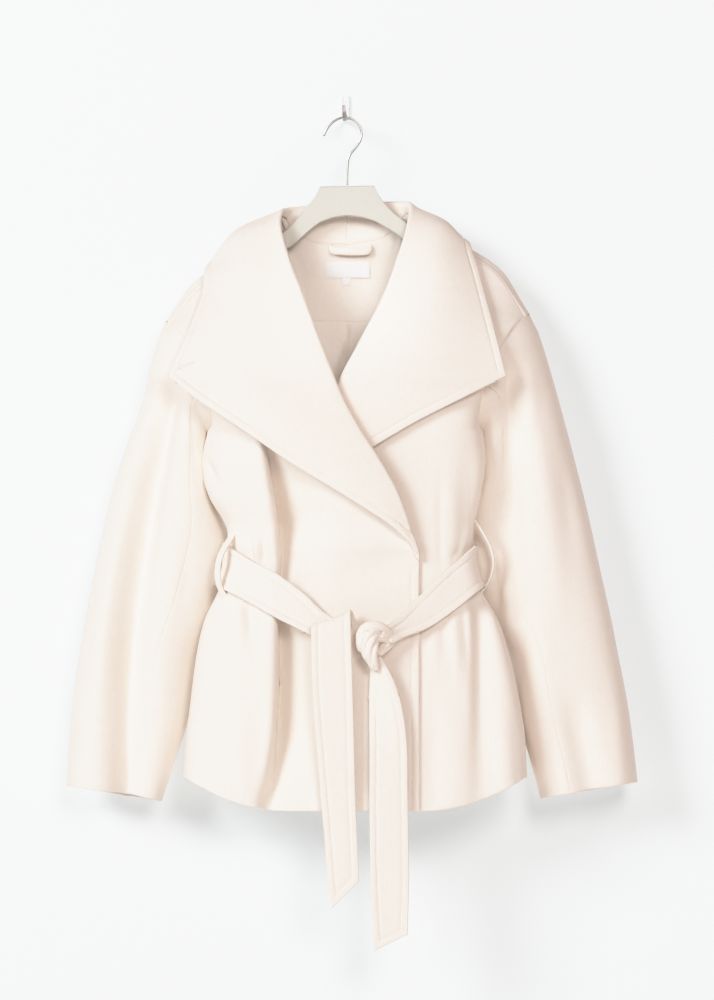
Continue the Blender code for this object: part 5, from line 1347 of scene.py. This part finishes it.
def make_knot():
    points, faces, base = [], [], 0
    for wide, deep, ridges, height, twist, path in KNOT + GATHER:
        p, f = tube_points(np.array(path, float), wide, deep, ridges, height, twist)
        points.append(p)
        faces += [tuple(base + i for i in dict.fromkeys(face)) for face in f]
        base += len(p)
    mesh = bpy.data.meshes.new("belt_knot_cloth")
    mesh.from_pydata((np.concatenate(points) / 1000).tolist(), [], faces)
    mesh.validate()
    ob = bpy.data.objects.new("belt_knot_cloth", mesh)
    bpy.context.scene.collection.objects.link(ob)
    bm = bmesh.new()
    bm.from_mesh(mesh)
    bmesh.ops.recalc_face_normals(bm, faces=bm.faces)
    bm.to_mesh(mesh)
    bm.free()
    m = ob.modifiers.new("remesh", "REMESH")
    m.mode, m.voxel_size, m.use_smooth_shade = "VOXEL", 0.0006, True
    s = ob.modifiers.new("smooth", "SMOOTH")
    s.factor, s.iterations = 0.5, 2
    deps = bpy.context.evaluated_depsgraph_get()
    new = bpy.data.meshes.new_from_object(ob.evaluated_get(deps))
    ob.modifiers.clear()
    ob.data = new
    new.shade_smooth()
    new.materials.clear()
    new.materials.append(MATS["wool"])
    PIECES["belt_knot_cloth"] = ob
    return ob


make_knot()


def belt_loop(side, rows, wide, across_way):
    """The strip that holds the belt at a side seam: its middle as a smooth bow, and the way of its width."""
    f = np.linspace(-0.5, 0.5, 13)
    mid = bend(draft(np.array(rows, float)), 90)
    along = unit(np.gradient(mid, axis=0))
    if across_way is None:
        across = unit(np.cross(along, unit(np.array([0.35, 1.0, 0.0]))))
    else:
        across = np.broadcast_to(unit(np.array(across_way, float)), mid.shape)
    grid = mid[:, None] + across[:, None] * (f * wide)[None, :, None]
    piece = Shell("belt_loop_" + side + "_cloth", grid, LOOP)
    piece.half = LOOP / 2 * (1.0 + 0.35 * np.cos(math.pi * f)[None, :] + np.zeros((90, 1)))
    piece.draw(LOOP / 2 * 0.86)
    piece.build()
    return piece


belt_loop("right", ((232.6, 534, -50.0), (229.5, 540, -55.5), (223.6, 549, -61.5), (219.2, 560, -64.0),
                    (217.6, 573, -62.5), (219.0, 584, -59.5), (222.6, 592.5, -56.0), (226.5, 598, -53.0)), 7.6, None)
belt_loop("left", ((474.5, 519.5, -40.0), (478.6, 525.5, -40.0), (485.6, 536.5, -40.0), (491.4, 549, -39.5),
                   (493.6, 562, -39.0), (491.6, 575, -39.0), (486.6, 585.5, -39.5), (480.0, 593.5, -41.0)), 7.2, (0.18, 1.0, 0.0))

# ---------------------------------------------------------------- neck loop, label, size tab
NECK_LOOP = table("gx gy d", (330.0, 247.0, 13.6), (330.6, 249.0, 12.2), (334.0, 250.6, 10.8), (342.0, 251.3, 10.2),
                  (351.0, 251.6, 10.0), (360.0, 251.6, 10.2), (367.0, 251.2, 10.8), (370.6, 249.8, 12.2),
                  (371.2, 248.2, 13.6))


def neck_loop():
    mid = bend(draft(np.stack([NECK_LOOP["gx"], NECK_LOOP["gy"], NECK_LOOP["d"]], -1)), 110)
    off = np.linspace(-3.4, 3.4, 15)
    grid = mid[:, None] - np.array([0, 0, 1.0]) * off[None, :, None]
    piece = Shell("neck_loop_cloth", grid, LOOP)
    if piece.normal[..., 1].mean() > 0:
        piece = Shell("neck_loop_cloth", grid, LOOP, True)
    t = np.linspace(0, 1, 110)[:, None]
    piece.half = (LOOP / 2) * (1.0 + 0.75 * np.cos(off / 3.4 * 1.45)[None, :]) * (0.8 + 0.2 * np.sin(math.pi * t))
    piece.build(5)
    return piece


neck_loop()


def inside_of(shell, gx, gy, off):
    rows, cols = shell.mid.shape[:2]
    idx = np.arange(rows * cols).reshape(rows, cols)
    a, b, e, f = idx[:-1, :-1].ravel(), idx[:-1, 1:].ravel(), idx[1:, 1:].ravel(), idx[1:, :-1].ravel()
    tris = np.concatenate([np.stack([a, b, e], -1), np.stack([a, e, f], -1)])
    tree = BVHTree.FromPolygons(shell.mid.reshape(-1, 3).tolist(), tris.tolist())
    eye = draft([EYE_GX, EYE_GY, 0.0]) - np.array([0, EYE, 0])
    out = []
    for x, y in zip(np.ravel(gx), np.ravel(gy)):
        hit = tree.ray_cast(eye.tolist(), (draft([x, y, 0.0]) - eye).tolist())[0]
        out.append(np.array(hit) - np.array([0, off, 0]))
    return np.array(out).reshape(*np.shape(gx), 3)


def patch(name, left, right, top, low, thick, cols, rows, mat, bulge):
    gx, gy = np.meshgrid(np.linspace(left, right, cols), np.linspace(top, low, rows))
    grid = inside_of(yoke_piece, gx, gy, CLOTH / 2 + 0.35 + thick / 2)
    piece = Shell(name, grid, thick, mat=mat)
    if piece.normal[..., 1].mean() > 0:
        piece = Shell(name, grid, thick, True, mat)
    u, v = np.linspace(0, 1, cols)[None, :], np.linspace(0, 1, rows)[:, None]
    piece.push(bulge * np.sin(math.pi * u) ** 0.5 * np.sin(math.pi * v) ** 0.5 + 0.12 * np.sin(u * 13) * np.sin(v * 3 + 1))
    piece.build()
    return piece


patch("neck_label_cloth", 325.6, 369.6, 263.0, 278.0, 0.8, 60, 24, "label", 0.5)
patch("size_tab_cloth", 342.6, 350.0, 278.4, 285.0, 0.8, 16, 14, "label", 0.2)

# ---------------------------------------------------------------- the hanger's wire
WIRE_PATH = table("gx gy", (324.0, 135.0), (327.0, 129.0), (331.7, 123.2), (337.5, 119.3), (344.5, 117.6),
                  (351.5, 119.0), (357.6, 123.4), (361.0, 129.5), (361.6, 135.5), (359.6, 142.0), (355.4, 148.0),
                  (350.6, 154.0), (348.2, 160.0), (347.5, 168.0), (347.2, 177.0), (347.2, 185.0))


def wire_hook():
    mid = bend(draft(np.stack([WIRE_PATH["gx"], WIRE_PATH["gy"], np.zeros(len(WIRE_PATH["gx"]))], -1)), 150)
    along = unit(np.gradient(mid, axis=0))
    turn = np.linspace(0, 2 * math.pi, 21)[:-1]
    rings = []
    start = -unit(mid[1] - mid[0])
    for t in (0.96, 0.75, 0.4):       # its rounded end
        r = WIRE / 2 * math.sqrt(1 - t * t)
        rings.append((mid[0] + start * WIRE / 2 * t + start * 0, r, along[0]))
    rings += [(p, WIRE / 2, a) for p, a in zip(mid, along)]
    points = []
    for p, r, a in rings:
        u = np.array([0.0, 1.0, 0.0])
        v = unit(np.cross(a, u))
        points.append(p + r * (np.cos(turn)[:, None] * u + np.sin(turn)[:, None] * v))
    n = len(points)
    faces = []
    for r in range(n - 1):
        for c in range(20):
            a, b = r * 20 + c, r * 20 + (c + 1) % 20
            faces.append((a, a + 20, b + 20, b))
    for base, flip in ((0, 1), ((n - 1) * 20, -1)):
        for c in range(0, 18, 2):
            faces.append((base, base + c + 1, base + c + 2, base + (c + 3) % 20)[::flip])
    return mesh_object("hanger_hook_wire", np.concatenate(points), faces, "wire")


wire_hook()


def buttonhole(shell, a, b, pitch=0.75, reach=1.05, long=1.7):
    """Close stitches to either side of a slit from a to b, in squares, and a fan of them round its outer end."""
    gx, gy = np.linspace(a[0], b[0], 30), np.linspace(a[1], b[1], 30)
    line = inside_of(shell, gx, gy, COLLAR / 2 + 0.05)
    other = inside_of(shell, gx + 1.5, gy + 3.5, COLLAR / 2 + 0.05)
    along = unit(line[-1] - line[0])
    n = unit(np.cross(along, unit(other.mean(0) - line.mean(0))))
    n = n if n[1] < 0 else -n
    side = unit(np.cross(n, along))
    run = length_of(line)
    for at in np.arange(0, run[-1], pitch):
        c = np.array([np.interp(at, run, line[:, i]) for i in range(3)])
        for sign in (1, -1):
            PURLS.append((c + side * sign * reach, side, n, long))
    for turn in np.linspace(-1.2, 1.2, 7):
        way = -along * math.cos(turn) + side * math.sin(turn)
        PURLS.append((line[0] + way * reach, way, n, long))


buttonhole(necks["right"], (179.5, 368.4), (194.5, 361.8))
make_stitches("topstitching")

# ---------------------------------------------------------------- riding, replacing and the cut of each sheet
NODE_OF = {
    "front_over_cloth": "front_over", "front_under_cloth": "front_under", "back_yoke_cloth": "back_yoke",
    "back_panel_cloth": "back_panel", "sleeve_top_right_cloth": "sleeve_top_right",
    "sleeve_under_right_cloth": "sleeve_under_right", "sleeve_top_left_cloth": "sleeve_top_left",
    "sleeve_under_left_cloth": "sleeve_under_left", "collar_over_cloth": "collar_over",
    "collar_under_cloth": "collar_under", "belt_front_right_cloth": "belt_front_right",
    "belt_front_left_cloth": "belt_front_left", "belt_back_cloth": "belt_back",
    "belt_tail_right_cloth": "belt_tail_right", "belt_tail_left_cloth": "belt_tail_left",
    "belt_knot_cloth": "belt_knot", "belt_loop_right_cloth": "belt_loop_right",
    "belt_loop_left_cloth": "belt_loop_left", "neck_loop_cloth": "neck_loop", "neck_label_cloth": "neck_label",
    "size_tab_cloth": "size_tab", "hanger_hook_wire": "hanger_hook",
}
# width and length each piece is cut to, and its flat area, in metres: what shows, without turnings
FLAT = {
    "front_over_cloth": (0.36, 0.60, 0.136), "front_under_cloth": (0.30, 0.58, 0.1117),
    "back_yoke_cloth": (0.42, 0.17, 0.0475), "back_panel_cloth": (0.45, 0.53, 0.1925),
    "sleeve_top_right_cloth": (0.27, 0.52, 0.099), "sleeve_under_right_cloth": (0.17, 0.45, 0.0548),
    "sleeve_top_left_cloth": (0.27, 0.52, 0.099), "sleeve_under_left_cloth": (0.17, 0.45, 0.0548),
    "collar_over_cloth": (0.27, 0.60, 0.0722), "collar_under_cloth": (0.27, 0.50, 0.0586),
    "belt_front_right_cloth": (0.045, 0.219, 0.00985), "belt_front_left_cloth": (0.045, 0.167, 0.0075),
    "belt_back_cloth": (0.045, 0.474, 0.0213), "belt_tail_right_cloth": (0.045, 0.41, 0.0182),
    "belt_tail_left_cloth": (0.045, 0.375, 0.0166), "belt_knot_cloth": (0.045, 0.078, 0.0034),
    "belt_loop_right_cloth": (0.014, 0.0925, 0.00129), "belt_loop_left_cloth": (0.0125, 0.0925, 0.00115),
    "neck_loop_cloth": (0.010, 0.0512, 0.00051), "neck_label_cloth": (0.05, 0.0185, 0.00092),
    "size_tab_cloth": (0.0101, 0.0101, 0.00008),
}
for name, ob in PIECES.items():
    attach(ob, "root")
    if name in NODE_OF:
        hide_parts(NODE_OF[name])


def area_of(ob):
    return sum(p.area for p in ob.data.polygons)


for name, ob in PIECES.items():
    if name in ("hanger_hook_wire", "topstitching"):
        continue
    if name in FLAT:
        w, l, a = FLAT[name]
    else:
        a = area_of(ob) / 2
        w = l = max(math.sqrt(a), 0.0101)

for node, mat in (("hanger_body", "board"), ("wall_hook", "clip")):
    ob = bpy.data.objects[node]
    for slot in ob.material_slots:
        slot.material = MATS[mat]

# ---------------------------------------------------------------- wall and floor
def stage_material(name, colour, one_sided, glow=0.0, glow_colour=(0.72, 1.03, 1.10, 1)):
    mat = bpy.data.materials.new(name)
    tree, nodes, links, b = nodes_of(mat)
    cloud = noise(tree, 1.3, 2.0, 0.5)
    links.new(mix_colour(tree, cloud, tuple(c * 0.992 for c in colour), colour), b.inputs["Base Color"])
    b.inputs["Roughness"].default_value = 0.9
    b.inputs["Specular IOR Level"].default_value = 0.1
    b.inputs["Emission Color"].default_value = glow_colour
    b.inputs["Emission Strength"].default_value = glow
    if one_sided:
        geo = nodes.new("ShaderNodeNewGeometry")
        clear = nodes.new("ShaderNodeBsdfTransparent")
        mix = nodes.new("ShaderNodeMixShader")
        out = nodes["Material Output"]
        links.new(geo.outputs["Backfacing"], mix.inputs[0])
        links.new(b.outputs[0], mix.inputs[1])
        links.new(clear.outputs[0], mix.inputs[2])
        links.new(mix.outputs[0], out.inputs["Surface"])
    return mat


def plane(name, corners, mat):
    mesh = bpy.data.meshes.new(name)
    mesh.from_pydata(corners, [], [(0, 1, 2, 3)])
    ob = bpy.data.objects.new(name, mesh)
    bpy.context.scene.collection.objects.link(ob)
    mesh.materials.append(mat)
    return ob


FLOOR_Z = -1.35
wall = plane("wall_stage", [(-4, 0.0012, -4), (4, 0.0012, -4), (4, 0.0012, 4), (-4, 0.0012, 4)],
             stage_material("wall_paint", (0.83, 0.84, 0.845), True, 0.22))
wall.visible_shadow = False
wall.visible_diffuse = False
plane("floor_stage", [(-3.4, -3.4, FLOOR_Z), (3.4, -3.4, FLOOR_Z), (3.4, 2.4, FLOOR_Z), (-3.4, 2.4, FLOOR_Z)],
      stage_material("floor_paint", (0.70, 0.70, 0.695), False, 0.28, (1.0, 0.84, 0.77, 1)))

# ---------------------------------------------------------------- light
world = bpy.data.worlds.new("studio")
bpy.context.scene.world = world
world.use_nodes = True
tree = world.node_tree
fill = tree.nodes["Background"]
fill.inputs["Color"].default_value = (1.0, 0.62, 0.52, 1)     # soft fill, warmed by what stands around the set
fill.inputs["Strength"].default_value = 0.21
pale = tree.nodes.new("ShaderNodeBackground")                 # the pale surroundings themselves
pale.inputs["Color"].default_value = (0.93, 0.93, 0.92, 1)
path = tree.nodes.new("ShaderNodeLightPath")
mix = tree.nodes.new("ShaderNodeMixShader")
tree.links.new(path.outputs["Is Camera Ray"], mix.inputs[0])
tree.links.new(fill.outputs[0], mix.inputs[1])
tree.links.new(pale.outputs[0], mix.inputs[2])
tree.links.new(mix.outputs[0], tree.nodes["World Output"].inputs["Surface"])
AIM = (0.0, -0.05, -0.5)


def area_light(name, place, aim, size, power, colour=(1, 1, 1)):
    data = bpy.data.lights.new(name, "AREA")
    data.shape, data.size = "DISK", size
    data.energy, data.color = power, colour
    ob = bpy.data.objects.new(name, data)
    bpy.context.scene.collection.objects.link(ob)
    ob.location = place
    ob.rotation_euler = (Vector(aim) - Vector(place)).to_track_quat("-Z", "Y").to_euler()
    ob.visible_camera = False
    return ob


COOL = (0.93, 1.0, 1.035)
WARM = (1.0, 0.965, 0.95)
area_light("key_softbox", (-2.90, -3.05, 1.30), AIM, 1.8, 124.0, COOL)
area_light("front_light", (1.05, -4.3, 1.15), AIM, 1.5, 79.0, WARM)
neck_light = area_light("neck_light", (0.0, -1.3, 0.14), (0.006, -0.04, -0.225), 0.1, 0.021, (1.0, 0.965, 0.93))
neck_light.data.spread = math.radians(11)
area_light("rear_left", (-2.4, 2.6, 0.9), AIM, 1.6, 60.0, COOL)
area_light("rear_right", (2.8, 2.2, 0.5), AIM, 1.6, 34.0, COOL)

# ---------------------------------------------------------------- camera
scene = bpy.context.scene
scene.view_settings.view_transform = "Standard"
# a soft shoulder, as on printed film: whites are held back from clipping, and shade keeps its colour
scene.view_settings.use_curve_mapping = True
curves = scene.view_settings.curve_mapping
curves.white_level = (1.6, 1.6, 1.6)
shoulder = curves.curves[3]
for x, y in ((0.25, 0.40), (0.4375, 0.70), (0.5, 0.785), (0.5625, 0.853), (0.625, 0.90), (0.75, 0.942)):
    shoulder.points.new(x, y)
shoulder.points[-1].location = (1.0, 0.975)
curves.update()
k0 = 1 + WALL / EYE
camera_data = bpy.data.cameras.new("camera")
camera_data.sensor_fit = "VERTICAL"
camera_data.angle = 2 * math.atan(500 * UNIT / EYE)
camera = bpy.data.objects.new("camera", camera_data)
scene.collection.objects.link(camera)
camera.location = ((EYE_GX - PLATE_GX) * UNIT * k0 / 1000, -(EYE + WALL) / 1000,
                   -(EYE_GY - PLATE_GY) * UNIT * k0 / 1000)
camera.rotation_euler = (math.radians(90), 0, 0)
camera_data.clip_end = 50
scene.camera = camera

bpy.context.view_layer.update()
